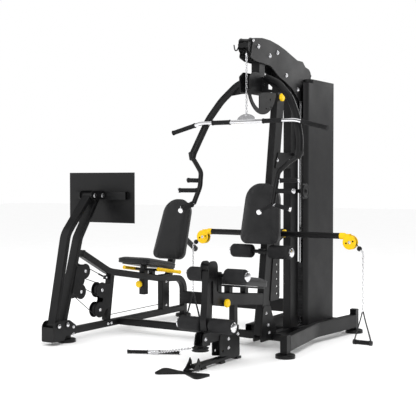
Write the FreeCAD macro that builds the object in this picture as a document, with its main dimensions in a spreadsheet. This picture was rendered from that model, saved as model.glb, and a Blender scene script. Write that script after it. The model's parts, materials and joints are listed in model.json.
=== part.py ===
import FreeCAD
import Part
import math
import os

# Multi station home gym. Millimetres, +Z up, floor at z = 0. Every piece is laid out from the
# main station's centre plane (x = 0) and its front foot line (y = 0). The files are written about
# the row origin, which is on the floor under the middle of the whole object.

os.makedirs("parts", exist_ok=True)
doc = FreeCAD.newDocument("multi_station_gym")
sheet = doc.addObject("Spreadsheet::Sheet", "Dimensions")

DRIVING = [
    ("tube_side", 50.0), ("tube_wall", 3.0), ("tube_round", 6.0), ("beam_tall", 100.0),
    ("low_beam_tall", 80.0), ("low_section", 70.0), ("flat_section", 25.0),
    ("press_base_tall", 48.0), ("plate_steel", 6.0), ("post_rear_y", 1150.0),
    ("post_front_x", 268.0), ("post_rear_x", 240.0), ("waist_x", 183.0), ("waist_y", 600.0),
    ("foot_radius", 65.0), ("foot_tall", 25.0), ("press_x", -1330.0), ("front_beam_y", 295.0),
    ("upright_wide", 50.0), ("upright_deep", 105.0), ("upright_lean", 0.1466),
    ("upright_face_y", 160.0), ("upright_face_z", 496.0), ("stack_post_wide", 60.0),
    ("stack_post_deep", 120.0), ("stack_y", 889.0), ("shroud_half", 90.0), ("shroud_front", 655.0),
    ("shroud_back", 1152.0), ("shroud_low", 108.0), ("shroud_high", 1851.0), ("shroud_skin", 1.5),
    ("shroud_bend", 45.0), ("head_plate_x", 43.0), ("groove_radius", 48.0), ("pulley_radius", 53.0),
    ("pulley_thick", 22.0), ("cable_radius", 3.0), ("axle_radius", 6.0), ("crossbar_radius", 20.0),
    ("crossbar_half", 500.0), ("crossbar_y", 332.0), ("crossbar_z", 783.0), ("roller_radius", 46.0),
    ("roller_bore", 13.5), ("rod_radius", 12.5), ("grip_radius", 15.0), ("link_radius", 10.0),
    ("link_wire", 2.5), ("press_arm_wide", 75.0), ("press_arm_deep", 35.0),
    ("press_plate_wide", 612.0), ("press_plate_tall", 372.0), ("press_plate_thick", 8.0),
]
for row, (alias, value) in enumerate(DRIVING, start=1):
    sheet.set(f"A{row}", alias)
    sheet.set(f"B{row}", str(value))
    sheet.setAlias(f"B{row}", alias)
doc.recompute()


def size(alias):
    return float(sheet.get(alias))


def vec(x, y, z):
    return FreeCAD.Vector(x, y, z)


PRESS_X = size("press_x")
STEEL = size("plate_steel")
SIDE = size("tube_side")
HALF = SIDE / 2
X_AXIS = vec(1, 0, 0)
Y_AXIS = vec(0, 1, 0)
Z_AXIS = vec(0, 0, 1)
nodes = []


# ---------------------------------------------------------------- helpers
def label(obj, name):
    """Name a finished sub-part and list it for writing."""
    obj.Label = name
    nodes.append(obj)
    return obj


def child(kind, name):
    return doc.addObject(kind, name)


def block(low, high):
    """An axis-aligned Part::Box from one corner to the other."""
    box = child("Part::Box", "block")
    box.Length, box.Width, box.Height = (high[i] - low[i] for i in range(3))
    box.Placement = FreeCAD.Placement(vec(*low), FreeCAD.Rotation())
    return box


def drum(centre, direction, length, radius):
    """A Part::Cylinder centred on a point; radius is an alias of the sheet or a number."""
    cylinder = child("Part::Cylinder", "drum")
    cylinder.Height = length
    if isinstance(radius, str):
        cylinder.setExpression("Radius", f"Dimensions.{radius}")
    else:
        cylinder.Radius = radius
    start = vec(*centre) - direction * (length / 2)
    cylinder.Placement = FreeCAD.Placement(start, FreeCAD.Rotation(Z_AXIS, direction))
    return cylinder


def join(pieces):
    """Weld pieces together as one Part::MultiFuse."""
    fuse = child("Part::MultiFuse", "join")
    fuse.Shapes = pieces
    return fuse


def carve(base, tool):
    cut = child("Part::Cut", "carve")
    cut.Base = base
    cut.Tool = tool
    return cut


def straight_tube(start, end, wide="tube_side", deep="tube_side", side=X_AXIS):
    """A hollow square tube from start to end; wide runs along side, deep across it."""
    start, end = vec(*start), vec(*end)
    run = end - start
    outer = child("Part::Box", "tube_outer")
    outer.setExpression("Length", f"Dimensions.{wide}")
    outer.setExpression("Width", f"Dimensions.{deep}")
    outer.Height = run.Length
    outer.Placement.Base = vec(-size(wide) / 2, -size(deep) / 2, 0)
    doc.recompute()
    rounded = child("Part::Fillet", "tube_round")
    rounded.Base = outer
    long_edges = [i for i, edge in enumerate(outer.Shape.Edges, start=1)
                  if abs(edge.tangentAt(edge.FirstParameter).z) > 0.99]
    rounded.Edges = [(i, size("tube_round"), size("tube_round")) for i in long_edges]
    inner = child("Part::Box", "tube_inner")
    inner.setExpression("Length", f"Dimensions.{wide} - 2 * Dimensions.tube_wall")
    inner.setExpression("Width", f"Dimensions.{deep} - 2 * Dimensions.tube_wall")
    inner.Height = run.Length
    wall = size("tube_wall")
    inner.Placement.Base = vec(wall - size(wide) / 2, wall - size(deep) / 2, 0)
    tube = carve(rounded, inner)
    direction = run.normalize()
    turn = FreeCAD.Rotation(side, direction.cross(side), direction, "ZXY")
    tube.Placement = FreeCAD.Placement(start, turn)
    return tube


def corner_path(points, radii):
    """Edges of a path: straight runs with a tangent arc of the given radius at each inner point."""
    edges = []
    here = points[0]
    for before, corner, after, radius in zip(points, points[1:], points[2:], radii):
        back = (before - corner).normalize()
        ahead = (after - corner).normalize()
        half_turn = (math.pi - back.getAngle(ahead)) / 2
        reach = radius * math.tan(half_turn)
        start, end = corner + back * reach, corner + ahead * reach
        centre_line = (back + ahead).normalize()
        middle = corner + centre_line * (radius / math.cos(half_turn) - radius)
        if (start - here).Length > 1e-6:
            edges.append(Part.LineSegment(here, start).toShape())
        edges.append(Part.Arc(start, middle, end).toShape())
        here = end
    edges.append(Part.LineSegment(here, points[-1]).toShape())
    return edges


def closed_outline(points, radii):
    """A closed loop of runs and corner arcs through points, one radius a point."""
    count = len(points)
    edges = []
    ends = []
    for i, corner in enumerate(points):
        back = (points[i - 1] - corner).normalize()
        ahead = (points[(i + 1) % count] - corner).normalize()
        radius = radii[i]
        half_turn = (math.pi - back.getAngle(ahead)) / 2
        if radius <= 0 or half_turn < 1e-4:
            ends.append((corner, None, corner))
            continue
        reach = radius * math.tan(half_turn)
        middle = corner + (back + ahead).normalize() * (radius / math.cos(half_turn) - radius)
        ends.append((corner + back * reach, middle, corner + ahead * reach))
    for i, (start, middle, end) in enumerate(ends):
        if middle is not None:
            edges.append(Part.Arc(start, middle, end).toShape())
        following = ends[(i + 1) % count][0]
        if (following - end).Length > 1e-6:
            edges.append(Part.LineSegment(end, following).toShape())
    return edges


def slab(points, radii, x_low, thick, holes=()):
    """A PartDesign plate: an outline in the YZ plane padded along +X from x_low."""
    body = doc.addObject("PartDesign::Body", "slab")
    sketch = body.newObject("Sketcher::SketchObject", "outline")
    plane = next(f for f in body.Origin.OriginFeatures if f.Role == "YZ_Plane")
    sketch.AttachmentSupport = [(plane, "")]
    sketch.MapMode = "FlatFace"
    loop = closed_outline([vec(y, z, 0) for y, z in points], radii)
    sketch.addGeometry([edge_geometry(edge) for edge in loop], False)
    for y, z, radius in holes:
        sketch.addGeometry(Part.Circle(vec(y, z, 0), Z_AXIS, radius), False)
    pad = body.newObject("PartDesign::Pad", "thickness")
    pad.Profile = sketch
    if isinstance(thick, str):
        pad.setExpression("Length", f"Dimensions.{thick}")
    else:
        pad.Length = thick
    body.Placement = FreeCAD.Placement(vec(x_low, 0, 0), FreeCAD.Rotation())
    return body


def edge_geometry(edge):
    curve = edge.Curve
    if curve.TypeId == "Part::GeomLine":
        return Part.LineSegment(edge.Vertexes[0].Point, edge.Vertexes[1].Point)
    middle = edge.valueAt((edge.FirstParameter + edge.LastParameter) / 2)
    return Part.Arc(edge.Vertexes[0].Point, middle, edge.Vertexes[1].Point)


def feature(shape, name="shaped"):
    """A Part::Feature that holds a shape made in code."""
    obj = child("Part::Feature", name)
    obj.Shape = shape
    return obj


def fitted(obj, name, *neighbours):
    """Name a sub-part after cutting away what its neighbours already fill."""
    if neighbours:
        tool = neighbours[0] if len(neighbours) == 1 else join(list(neighbours))
        obj = carve(obj, tool)
    return label(obj, name)


def group(shapes):
    return feature(Part.makeCompound(shapes), "group")


def rounded_section(wide, deep, corner):
    w, d = wide / 2, deep / 2
    points = [vec(-w, -d, 0), vec(w, -d, 0), vec(w, d, 0), vec(-w, d, 0)]
    return Part.Wire(closed_outline(points, [corner] * 4))


def bent_tube(points, radii, wide, deep, side, hollow=True):
    """A tube swept along runs and arcs in one plane; side is the direction of its width."""
    path = [vec(*p) for p in points]
    wire = Part.Wire(corner_path(path, radii))
    direction = (path[1] - path[0]).normalize()
    turn = FreeCAD.Rotation(side, direction.cross(side), direction, "ZXY")
    start = FreeCAD.Placement(path[0], turn)

    def sweep(w, d, corner):
        section = rounded_section(w, d, corner)
        section.Placement = start
        return wire.makePipeShell([section], True, False)

    outer = sweep(wide, deep, size("tube_round"))
    if not hollow:
        return outer
    wall = size("tube_wall")
    return outer.cut(sweep(wide - 2 * wall, deep - 2 * wall, size("tube_round") - wall))


def bent_rod(points, radii, radius):
    """A round bar or cable swept along runs and arcs."""
    path = [vec(*p) for p in points]
    edges = corner_path(path, radii)
    wire = Part.Wire(edges)
    direction = (path[1] - path[0]).normalize()
    section = Part.Wire(Part.Circle(path[0], direction, radius).toShape())
    return wire.makePipeShell([section], True, False)


def link_chain(start, end, sag=0.0):
    """Interlocked round links from start to end, hanging sag below the straight line."""
    start, end = vec(*start), vec(*end)
    ring, wire = size("link_radius"), size("link_wire")
    pitch = 2 * (ring - wire) - 0.6
    count = int((end - start).Length / pitch)
    run = (end - start).normalize()
    across = run.cross(Y_AXIS if abs(run.y) < 0.9 else X_AXIS).normalize()
    links = []
    for i in range(count):
        share = (i + 0.5) / count
        centre = start + (end - start) * share - Z_AXIS * (4 * sag * share * (1 - share))
        axis = across if i % 2 else run.cross(across)
        links.append(Part.makeTorus(ring, wire, centre, axis))
    return links


def revolve_x(profile, centre):
    """A wheel: a closed profile of (x, radius) pairs turned about the X axis through centre."""
    points = [vec(x, r, 0) for x, r in profile]
    face = Part.Face(Part.makePolygon(points + [points[0]]))
    wheel = face.revolve(vec(0, 0, 0), X_AXIS, 360)
    wheel.translate(vec(*centre))
    return wheel


def pulley_shape(centre, scale=1.0):
    """A grooved nylon pulley on a lateral axle."""
    t = size("pulley_thick") / 2
    rim, groove = size("pulley_radius") * scale, size("groove_radius") * scale
    bore = size("axle_radius") + 0.4
    hub = t + 1.5
    profile = [(-hub, bore), (-hub, 14), (-t, 14), (-t, rim), (-t + 3, rim), (-3, groove - 0.4),
               (3, groove - 0.4), (t - 3, rim), (t, rim), (t, 14), (hub, 14), (hub, bore)]
    return revolve_x(profile, centre)


def upright_face(z):
    """Y of the leaning front upright's front face at a height."""
    return size("upright_face_y") + (z - size("upright_face_z")) * size("upright_lean")


def bar(start, end, radius):
    """A solid round bar between two points, as a shape."""
    start, end = vec(*start), vec(*end)
    return Part.makeCylinder(radius, (end - start).Length, start, end - start)


def cuboid(low, high):
    return Part.makeBox(high[0] - low[0], high[1] - low[1], high[2] - low[2], vec(*low))


def plate_shape(points, radii, x_low, x_high, holes=()):
    """A flat plate with an outline in the YZ plane, between two X values, as a shape."""
    outline = Part.Wire(closed_outline([vec(0, y, z) for y, z in points], radii))
    plate = Part.Face(outline).extrude(vec(x_high - x_low, 0, 0))
    plate.translate(vec(x_low, 0, 0))
    for y, z, radius in holes:
        plate = plate.cut(Part.makeCylinder(radius, x_high - x_low + 2, vec(x_low - 1, y, z), X_AXIS))
    return plate


def fused(shapes):
    return shapes[0].multiFuse(shapes[1:]).removeSplitter()


def pad_shape(wide_low, wide_high, tall, thick, top_radius, low_radius, base, lean):
    """A cushion slab: outline in its own plane, leaning back by lean degrees from base."""
    w, t = wide_low / 2, wide_high / 2
    outline = [vec(-w, 0, 0), vec(w, 0, 0), vec(t, 0, tall), vec(-t, 0, tall)]
    radii = [low_radius, low_radius, top_radius, top_radius]
    slab_face = Part.Face(Part.Wire(closed_outline(outline, radii)))
    cushion = slab_face.extrude(vec(0, thick, 0))
    cushion.rotate(vec(0, 0, 0), X_AXIS, -lean)
    cushion.translate(vec(*base))
    return cushion


def roller_pair(y, z, inner, length):
    """Two foam rollers on one cross rod; returns the rollers and the rod with its end caps."""
    bore = size("roller_bore")
    foam, caps = [], []
    for sign in (-1, 1):
        start = (sign * inner, y, z)
        end = (sign * (inner + length), y, z)
        foam.append(bar(start, end, size("roller_radius")).cut(bar(start, end, bore)))
        cap_start = (end[0] + sign * 1.0, y, z)
        caps.append(bar(cap_start, (cap_start[0] + sign * 8, y, z), 30))
    reach = inner + length + 1.0
    rod = bar((-reach, y, z), (reach, y, z), size("rod_radius"))
    return Part.makeCompound(foam), fused([rod] + caps)


def knob_shape(face, direction, stand=26.0, radius=28.0):
    """A pop-pin's round head on its stem; face is where the stem enters the frame."""
    out = vec(*direction)
    origin = vec(*face)
    stem = Part.makeCylinder(6.0, stand, origin, out)
    head = Part.makeCylinder(radius, 22.0, origin + out * stand, out)
    head = head.makeFillet(5.0, head.Edges)
    return stem.fuse(head)


# ---------------------------------------------------------------- base frame
def base_frame():
    post_x, rear_x, rear_y = size("post_front_x"), size("post_rear_x"), size("post_rear_y") + HALF
    foot_tall = size("foot_tall")
    posts = [cuboid((post_x - HALF, -HALF, foot_tall), (post_x + HALF, HALF, 150)),
             cuboid((rear_x - HALF, rear_y - HALF, foot_tall), (rear_x + HALF, rear_y + HALF, 180)),
             cuboid((-rear_x - HALF, rear_y - HALF, foot_tall), (-rear_x + HALF, rear_y + HALF, 115))]
    side_posts = label(group(posts), "side_posts")
    discs = []
    for x, y in ((post_x, 0), (rear_x, rear_y), (-rear_x, rear_y), (PRESS_X, -300), (PRESS_X, 1190)):
        disc = Part.makeCylinder(size("foot_radius"), foot_tall, vec(x, y, 0))
        discs.append(disc.makeFillet(7.0, [disc.Edges[0]]))
    label(group(discs), "floor_discs")
    path = [(post_x, HALF, 90), (size("waist_x"), size("waist_y"), 90), (rear_x, rear_y - HALF, 90)]
    side = feature(bent_tube(path, [400.0], SIDE, size("beam_tall"), X_AXIS))
    side_beam = fitted(side, "right_side_beam", side_posts)
    left = straight_tube((-190, 320, 90), (-rear_x, rear_y - HALF, 90), "tube_side", "beam_tall")
    left_beam = fitted(left, "left_side_beam", side_posts)
    front = straight_tube((-1305, size("front_beam_y"), 75), (225, size("front_beam_y"), 75), side=Y_AXIS)
    front_beam = fitted(front, "front_cross_beam", side_beam, left_beam)
    rear = straight_tube((-1305, rear_y, 165), (-rear_x + HALF, rear_y, 165), "tube_side", "beam_tall",
                         side=Y_AXIS)
    fitted(rear, "rear_cross_beam", left_beam)
    tie = straight_tube((-rear_x + HALF, rear_y, 75), (rear_x - HALF, rear_y, 75), side=Y_AXIS)
    label(tie, "rear_tie_tube")
    label(straight_tube((0, 320, 75), (0, rear_y - HALF, 75)), "stack_base_tube")
    cross = group([straight_shape((-185, 600, 75), (-HALF, 600, 75), Y_AXIS),
                   straight_shape((HALF, 600, 75), (200, 600, 75), Y_AXIS)])
    fitted(cross, "stack_cross_tubes", side_beam, left_beam)
    return front_beam


def straight_shape(start, end, side):
    """The same hollow square tube as straight_tube, as a bare shape for use in a group."""
    start, end = vec(*start), vec(*end)
    length = (end - start).Length
    direction = (end - start).normalize()
    turn = FreeCAD.Rotation(side, direction.cross(side), direction, "ZXY")
    wall = size("tube_wall")
    outer = Part.Face(rounded_section(SIDE, SIDE, size("tube_round"))).extrude(Z_AXIS * length)
    inner_wire = rounded_section(SIDE - 2 * wall, SIDE - 2 * wall, size("tube_round") - wall)
    inner = Part.Face(inner_wire).extrude(Z_AXIS * length)
    tube = outer.cut(inner)
    tube.Placement = FreeCAD.Placement(start, turn)
    return tube


# ---------------------------------------------------------------- tower and boom
HEAD_TOP = [(-28, 2081), (93, 2096), (204, 2094), (318, 2078), (421, 2056), (605, 2003)]
HEAD_LOW = [(690, 2003), (735, 1968), (790, 1958), (822, 1929), (798, 1885), (782, 1809), (718, 1732),
            (640, 1716), (520, 1800), (440, 1830), (330, 1862), (215, 1925), (0, 1934), (-66, 1953)]
HEAD_BOLTS = [(39, 2034), (197, 1989), (305, 2022), (437, 1880), (614, 1795)]
FRONT_PULLEY = (0, 8, 2025)
REAR_PULLEYS = [(0, 712, 1940), (0, 838, 1916)]
PRESS_HINGE = (98, 1788)
NOSE_BOLT = (-47, 2061)


def tower():
    lean = size("upright_lean")
    slope = math.hypot(1, lean)
    half_deep = size("upright_deep") / 2
    low_y = upright_face(100) + half_deep * slope
    high_y = upright_face(1960) + half_deep * slope
    raw = straight_tube((0, low_y, 100), (0, high_y, 1960), "upright_wide", "upright_deep")
    trim = block((-60, 0, 60), (60, 400, 100))
    upright = fitted(raw, "front_upright", trim)
    gusset = [(98, 62), (268, 62), (268, 101), (318, 101), (318, 128), (232, 300), (137, 300)]
    plates = [plate_shape(gusset, [12, 4, 4, 4, 20, 20, 20], x, x + STEEL) for x in (HALF, -HALF - STEEL)]
    label(group(plates), "foot_gussets")
    holes = [(330, z, 9) for z in range(370, 720, 50)]
    wing = [(232, 326), (350, 326), (367, 345), (367, 730), (425, 752), (425, 815), (300, 815)]
    crossbar = bar((-60, size("crossbar_y"), size("crossbar_z")),
                   (60, size("crossbar_y"), size("crossbar_z")), size("crossbar_radius") + 0.2)
    wings = [plate_shape(wing, [10, 10, 10, 20, 10, 10, 10], x, x + STEEL, holes).cut(crossbar)
             for x in (HALF, -HALF - STEEL)]
    label(group(wings), "perforated_plates")
    rear = straight_tube((0, 590, 100), (0, 590, 1985), "stack_post_wide", "stack_post_deep")
    label(rear, "rear_upright")
    links = [plate_shape([(300, 1235), (530, 1235), (530, 1345), (345, 1345)], [10, 2, 2, 10], x, x + STEEL)
             for x in (HALF, -HALF - STEEL)]
    links.append(cuboid((-HALF - STEEL, 524, 1240), (HALF + STEEL, 530, 1340)))
    label(feature(fused(links)), "upright_link_bracket")
    for name, x in (("right", size("head_plate_x") - STEEL), ("left", -size("head_plate_x"))):
        radii = [20, 200, 200, 200, 300, 60, 30, 30, 25, 25, 40, 60, 30, 60, 60, 60, 80, 60, 60, 12]
        plate = slab(HEAD_TOP + HEAD_LOW, radii, x, "plate_steel")
        label(plate, f"boom_plate_{name}")
    inner = size("head_plate_x") - STEEL
    spacers = []
    for sign in (-1, 1):
        ends = sorted((sign * HALF, sign * inner))
        spacers.append(plate_shape([(365, 1870), (455, 1870), (465, 1930), (375, 1930)], [0] * 4, *ends))
        ends = sorted((sign * size("stack_post_wide") / 2, sign * inner))
        spacers.append(cuboid((ends[0], 545, 1840), (ends[1], 635, 1940)))
    label(group(spacers), "boom_spacers")
    heads = []
    for y, z in HEAD_BOLTS:
        for sign in (-1, 1):
            x = sign * size("head_plate_x")
            heads.append(bar((x, y, z), (x + sign * 8, y, z), 11))
    for y, z in ((202, 167), (216, 114), (172, 250), (330, 1290), (500, 1290)):
        for sign in (-1, 1):
            x = sign * (HALF + STEEL)
            heads.append(bar((x, y, z), (x + sign * 7, y, z), 9))
    label(group(heads), "frame_bolts")
    cheeks = [plate_shape([(-90, 1982), (30, 1982), (30, 2080), (-82, 2080)], [34, 6, 6, 34], x, x + 4)
              for x in (-inner, inner - 4)]
    web = cuboid((-inner, -90, 2014), (inner, -84, 2040))
    hook = bent_rod([(-33, -86, 2024), (-33, -108, 1996), (-33, -136, 1990), (-33, -148, 2026)],
                    [16.0, 14.0], 4)
    cross_bolt = bar((-52, *NOSE_BOLT), (52, *NOSE_BOLT), 6)
    axle = size("axle_radius")
    front_axle = bar((-inner, *FRONT_PULLEY[1:]), (inner, *FRONT_PULLEY[1:]), axle)
    label(feature(fused(cheeks + [web, hook]).cut(cross_bolt).cut(front_axle)), "nose_cheeks")
    label(feature(cross_bolt), "nose_cross_bolt")
    axles = [bar((-inner, p[1], p[2]), (inner, p[1], p[2]), axle) for p in [FRONT_PULLEY] + REAR_PULLEYS]
    label(group(axles), "boom_axles")
    doc.recompute()
    return upright


SIDE_PULLEY = (104, 608, 1075)
CABLE_CLAMPS = (760, 1345)


def side_pulley():
    """A pulley beside the rear upright, its axle stay and the cable that passes behind it."""
    x, y, z = SIDE_PULLEY
    axle = size("axle_radius")
    wheel = pulley_shape(SIDE_PULLEY)
    label(feature(wheel), "side_pulley")
    face = size("stack_post_wide") / 2
    stay = fused([bar((face, y, z), (x - 13, y, z), 14), bar((x - 13, y, z), (x + 14, y, z), axle),
                  bar((x + 14, y, z), (x + 19, y, z), 12)])
    line = y - size("groove_radius") - size("cable_radius")
    cable = bar((x, line, CABLE_CLAMPS[0]), (x, line, CABLE_CLAMPS[1]), size("cable_radius"))
    lugs = [cuboid((face, line - 12, low - 10), (x + 12, line + 12, low + 10)).cut(cable)
            for low in (CABLE_CLAMPS[0] + 10, CABLE_CLAMPS[1] - 10)]
    label(group([stay] + lugs), "side_pulley_bracket")
    label(feature(cable), "side_cable")


def pulleys():
    side_pulley()
    label(feature(pulley_shape(FRONT_PULLEY)), "front_pulley")
    label(feature(pulley_shape(REAR_PULLEYS[0])), "rear_pulley_inner")
    label(feature(pulley_shape(REAR_PULLEYS[1])), "rear_pulley_outer")
    flat = pulley_shape((0, 0, 0))
    flat.rotate(vec(0, 0, 0), Y_AXIS, 90)
    flat.translate(vec(*LOW_PULLEY))
    label(feature(flat), "low_pulley")


# ---------------------------------------------------------------- weight stack and shroud
STACK_PLATES = 14
PLATE_PITCH = 25.0
PLATE_THICK = 24.0
STACK_LOW = 160.0
SELECTED = 5
GUIDE_REACH = 140.0
PLATE_X, PLATE_Y = 55.0, 170.0


def stack():
    y = size("stack_y")
    half, skin = size("shroud_half"), size("shroud_skin")
    front, back = size("shroud_front"), size("shroud_back")
    low, high = size("shroud_low"), size("shroud_high")
    middle, deep = (front + back) / 2, back - front
    outer = Part.Face(rounded_section(2 * half, deep, size("shroud_bend"))).extrude(Z_AXIS * (high - low))
    inner_wire = rounded_section(2 * (half - skin), deep - 2 * skin, size("shroud_bend") - skin)
    inner = Part.Face(inner_wire).extrude(Z_AXIS * (high - low))
    shell = outer.cut(inner)
    shell.translate(vec(0, middle, low))
    shell = shell.cut(cuboid((-62, front - 5, low), (62, front + 30, high)))
    shell = shell.cut(cuboid((-half - 2, y - 20, 150), (-half + 6, y + 20, 1560)))
    label(feature(shell), "stack_shroud")
    lid_wire = rounded_section(2 * half, 427, size("shroud_bend"))
    lid = Part.Face(lid_wire).extrude(Z_AXIS * 30)
    lid.translate(vec(0, back - 427 / 2, high))
    lid = lid.cut(cuboid((-46, 690, high - 1), (46, 915, high + 31)))
    hollow = Part.Face(rounded_section(2 * half - 8, 419, 41)).extrude(Z_AXIS * 26)
    hollow.translate(vec(0, back - 427 / 2, high))
    label(feature(lid.cut(hollow)), "shroud_cap")
    rods = [bar((0, y + s * GUIDE_REACH, 100), (0, y + s * GUIDE_REACH, 1836), 12.5) for s in (-1, 1)]
    label(group(rods), "guide_rods")
    top = cuboid((-34, 650, 1836), (34, 1075, 1844)).cut(cuboid((-14, y - 14, 1835), (14, y + 14, 1845)))
    label(feature(top), "stack_top_plate")
    cushions = [Part.makeCylinder(24, 60, vec(0, y + s * GUIDE_REACH, 100)).cut(
        Part.makeCylinder(12.6, 60, vec(0, y + s * GUIDE_REACH, 100))) for s in (-1, 1)]
    label(group(cushions), "stack_buffers")

    def weight(index):
        low_z = STACK_LOW + index * PLATE_PITCH
        plate = cuboid((-PLATE_X, y - PLATE_Y, low_z), (PLATE_X, y + PLATE_Y, low_z + PLATE_THICK))
        for s in (-1, 1):
            plate = plate.cut(Part.makeCylinder(15, 30, vec(0, y + s * GUIDE_REACH, low_z - 1)))
        plate = plate.cut(Part.makeCylinder(14, 30, vec(0, y, low_z - 1)))
        slot = cuboid((-PLATE_X - 1, y - 7, low_z + 6), (-10, y + 7, low_z + 18))
        return plate.cut(slot)

    resting = STACK_PLATES - SELECTED
    label(group([weight(i) for i in range(resting)]), "resting_weight_plates")
    label(group([weight(i) for i in range(resting, STACK_PLATES)]), "selected_weight_plates")
    top_z = STACK_LOW + STACK_PLATES * PLATE_PITCH
    rod = bar((0, y, STACK_LOW + 10), (0, y, top_z + 70), 12)
    pin_z = STACK_LOW + resting * PLATE_PITCH + 12
    pin = bar((-96, y, pin_z), (13, y, pin_z), 4)
    rod = rod.cut(pin)
    label(feature(fused([pin, bar((-118, y, pin_z), (-96, y, pin_z), 14)])), "selector_pin")
    label(feature(rod), "selector_rod")
    crown = cuboid((-PLATE_X, y - PLATE_Y, top_z + 1), (PLATE_X, y + PLATE_Y, top_z + 41))
    for s in (-1, 1):
        crown = crown.cut(Part.makeCylinder(13, 50, vec(0, y + s * GUIDE_REACH, top_z)))
    label(feature(crown.cut(bar((0, y, top_z), (0, y, top_z + 50), 12.05))), "stack_head_plate")
    cable = bar((0, y, top_z + 70), (0, y, REAR_PULLEYS[1][2]), size("cable_radius"))
    label(feature(cable), "stack_cable")


# ---------------------------------------------------------------- main station
LOW_PULLEY = (0, -600, 123)
LOW_BOLTS = [(-590, 184), (-320, 150), (-320, 94), (-205, 165)]
LEVER_HINGE = (-512, 570)
SEAT_ROLLERS = (-400, 558)
BACK_ROLLERS = (158, 671)
ANKLE_ROLLERS = (-535, 263)
SPINE_TOP = 462.0
SPINE_SLOPE = 0.112


def spine_top(y):
    return SPINE_TOP - SPINE_SLOPE * (y + 500)


def main_station(upright):
    slope = math.hypot(1, SPINE_SLOPE)
    drop = size("low_beam_tall") / 2 * slope
    raw = straight_tube((0, -490, spine_top(-490) - drop), (0, 190, spine_top(190) - drop),
                        "tube_side", "low_beam_tall")
    behind = block((-60, 400, 0), (60, 401, 1))
    solid_upright = solid_post(upright)
    spine = fitted(raw, "spine_beam", solid_upright, behind)
    cheek = [(-552, 535), (-552, 655), (-446, 655), (-446, 560), (-462, 520), (-462, 470), (-440, 455),
             (-440, 395), (-500, 385), (-502, 535)]
    cheeks = [plate_shape(cheek, [12, 35, 45, 30, 20, 10, 10, 10, 10, 10], x, x + STEEL,
                          [(*LEVER_HINGE, 10)])
              for x in (HALF, -HALF - STEEL)]
    label(group(cheeks), "lever_cheeks")
    pin = bar((-HALF - STEEL - 6, *LEVER_HINGE), (HALF + STEEL + 6, *LEVER_HINGE), 9.9)
    stop = bar((-HALF - STEEL, -512, 632), (HALF + STEEL, -512, 632), 7)
    label(group([pin, stop.cut(cuboid((HALF, -600, 600), (60, -400, 700))).cut(
        cuboid((-60, -600, 600), (-HALF, -400, 700)))]), "lever_pin")
    post = block((-20, -228, 220), (20, -188, 450))
    fitted(post, "seat_post", solid_prism(-228, -188))
    label(straight_tube((0, -560, 185), (0, -180, 185), "tube_side", "low_section"), "low_beam")
    bracket = [(-420, 52), (-212, 20), (-180, 24), (-180, 185), (-420, 185)]
    brackets = [plate_shape(bracket, [6, 10, 10, 10, 10], x, x + STEEL, [(-385, 80, 9)])
                for x in (HALF, -HALF - STEEL)]
    label(group(brackets), "foot_brackets")
    label(straight_tube((0, -640, 27.5), (0, -190, 27.5), "tube_side", "flat_section"), "foot_beam")
    pads = [cuboid((-HALF, y, 0), (HALF, y + 50, 15)) for y in (-620, -400, -200)]
    label(group(pads), "foot_beam_pads")
    y, z = LOW_PULLEY[1:]
    outline = [(y - 26, 146), (-535, 146), (-535, 222), (y - 10, 222)]
    sides = [plate_shape(outline, [8, 4, 4, 24], x, x + STEEL) for x in (HALF, -HALF - STEEL)]
    shelf = cuboid((-HALF - STEEL, y - 26, 140), (HALF + STEEL, -535, 146))
    shelf = shelf.cut(bar(LOW_PULLEY, (0, y, 160), size("axle_radius")))
    label(feature(fused(sides + [shelf])), "low_pulley_sides")
    caps = [bar((s * (HALF + STEEL), y, z), (s * (HALF + STEEL + 7), y, z), 9) for s in (-1, 1)
            for y, z in LOW_BOLTS]
    axle = bar((0, y, z - 14), (0, y, 152), size("axle_radius"))
    label(group(caps + [axle]), "low_frame_bolts")
    seat = seat_block(300, -345, 0, 506, 0.13, 55)
    label(feature(seat), "seat_pad")
    board = seat_block(280, -330, -15, 506 - 56, 0.13, 12)
    risers = [cuboid((-20, y, 380), (20, y + 40, 480)) for y in (-290, -90)]
    board_solid = fused([board] + risers).cut(spine_prism())
    board_solid = board_solid.cut(seat_block(400, -500, 100, 506 + 200, 0.13, 256))
    label(feature(board_solid), "seat_board")
    foam, rod = roller_pair(*SEAT_ROLLERS, 60, 150)
    label(feature(foam), "seat_rollers")
    label(feature(rod), "seat_roller_rod")
    y, z = SEAT_ROLLERS
    carrier = cuboid((-18, y - 20, 420), (18, y + 20, z + 20)).cut(spine_prism()).cut(rod)
    label(feature(carrier), "seat_roller_post")
    foam, rod = roller_pair(*BACK_ROLLERS, 64, 160)
    label(feature(foam), "back_rollers")
    y, z = BACK_ROLLERS
    saddle = cuboid((-20, y - 4, z - 18), (20, y + 40, z + 18)).cut(solid_upright.Shape)
    saddle = max(saddle.Solids, key=lambda solid: solid.Volume)
    label(feature(fused([rod, saddle])), "back_roller_rod")
    lean = math.degrees(math.atan(size("upright_lean")))
    face = upright_face(727) - 88
    pad = pad_shape(300, 242, 410, 55, 112, 55, (0, face, 727), lean)
    label(feature(pad), "backrest_pad")
    carrier = pad_shape(150, 150, 280, 12, 20, 20, (0, face + 55.6, 790), lean)
    stub = pad_shape(46, 46, 200, 40, 4, 4, (0, face + 60, 830), lean)
    carrier = fused([carrier, stub]).cut(solid_post(upright).Shape)
    carrier = max(carrier.Solids, key=lambda s: s.Volume)
    label(feature(carrier.cut(pad)), "backrest_carrier")


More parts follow.
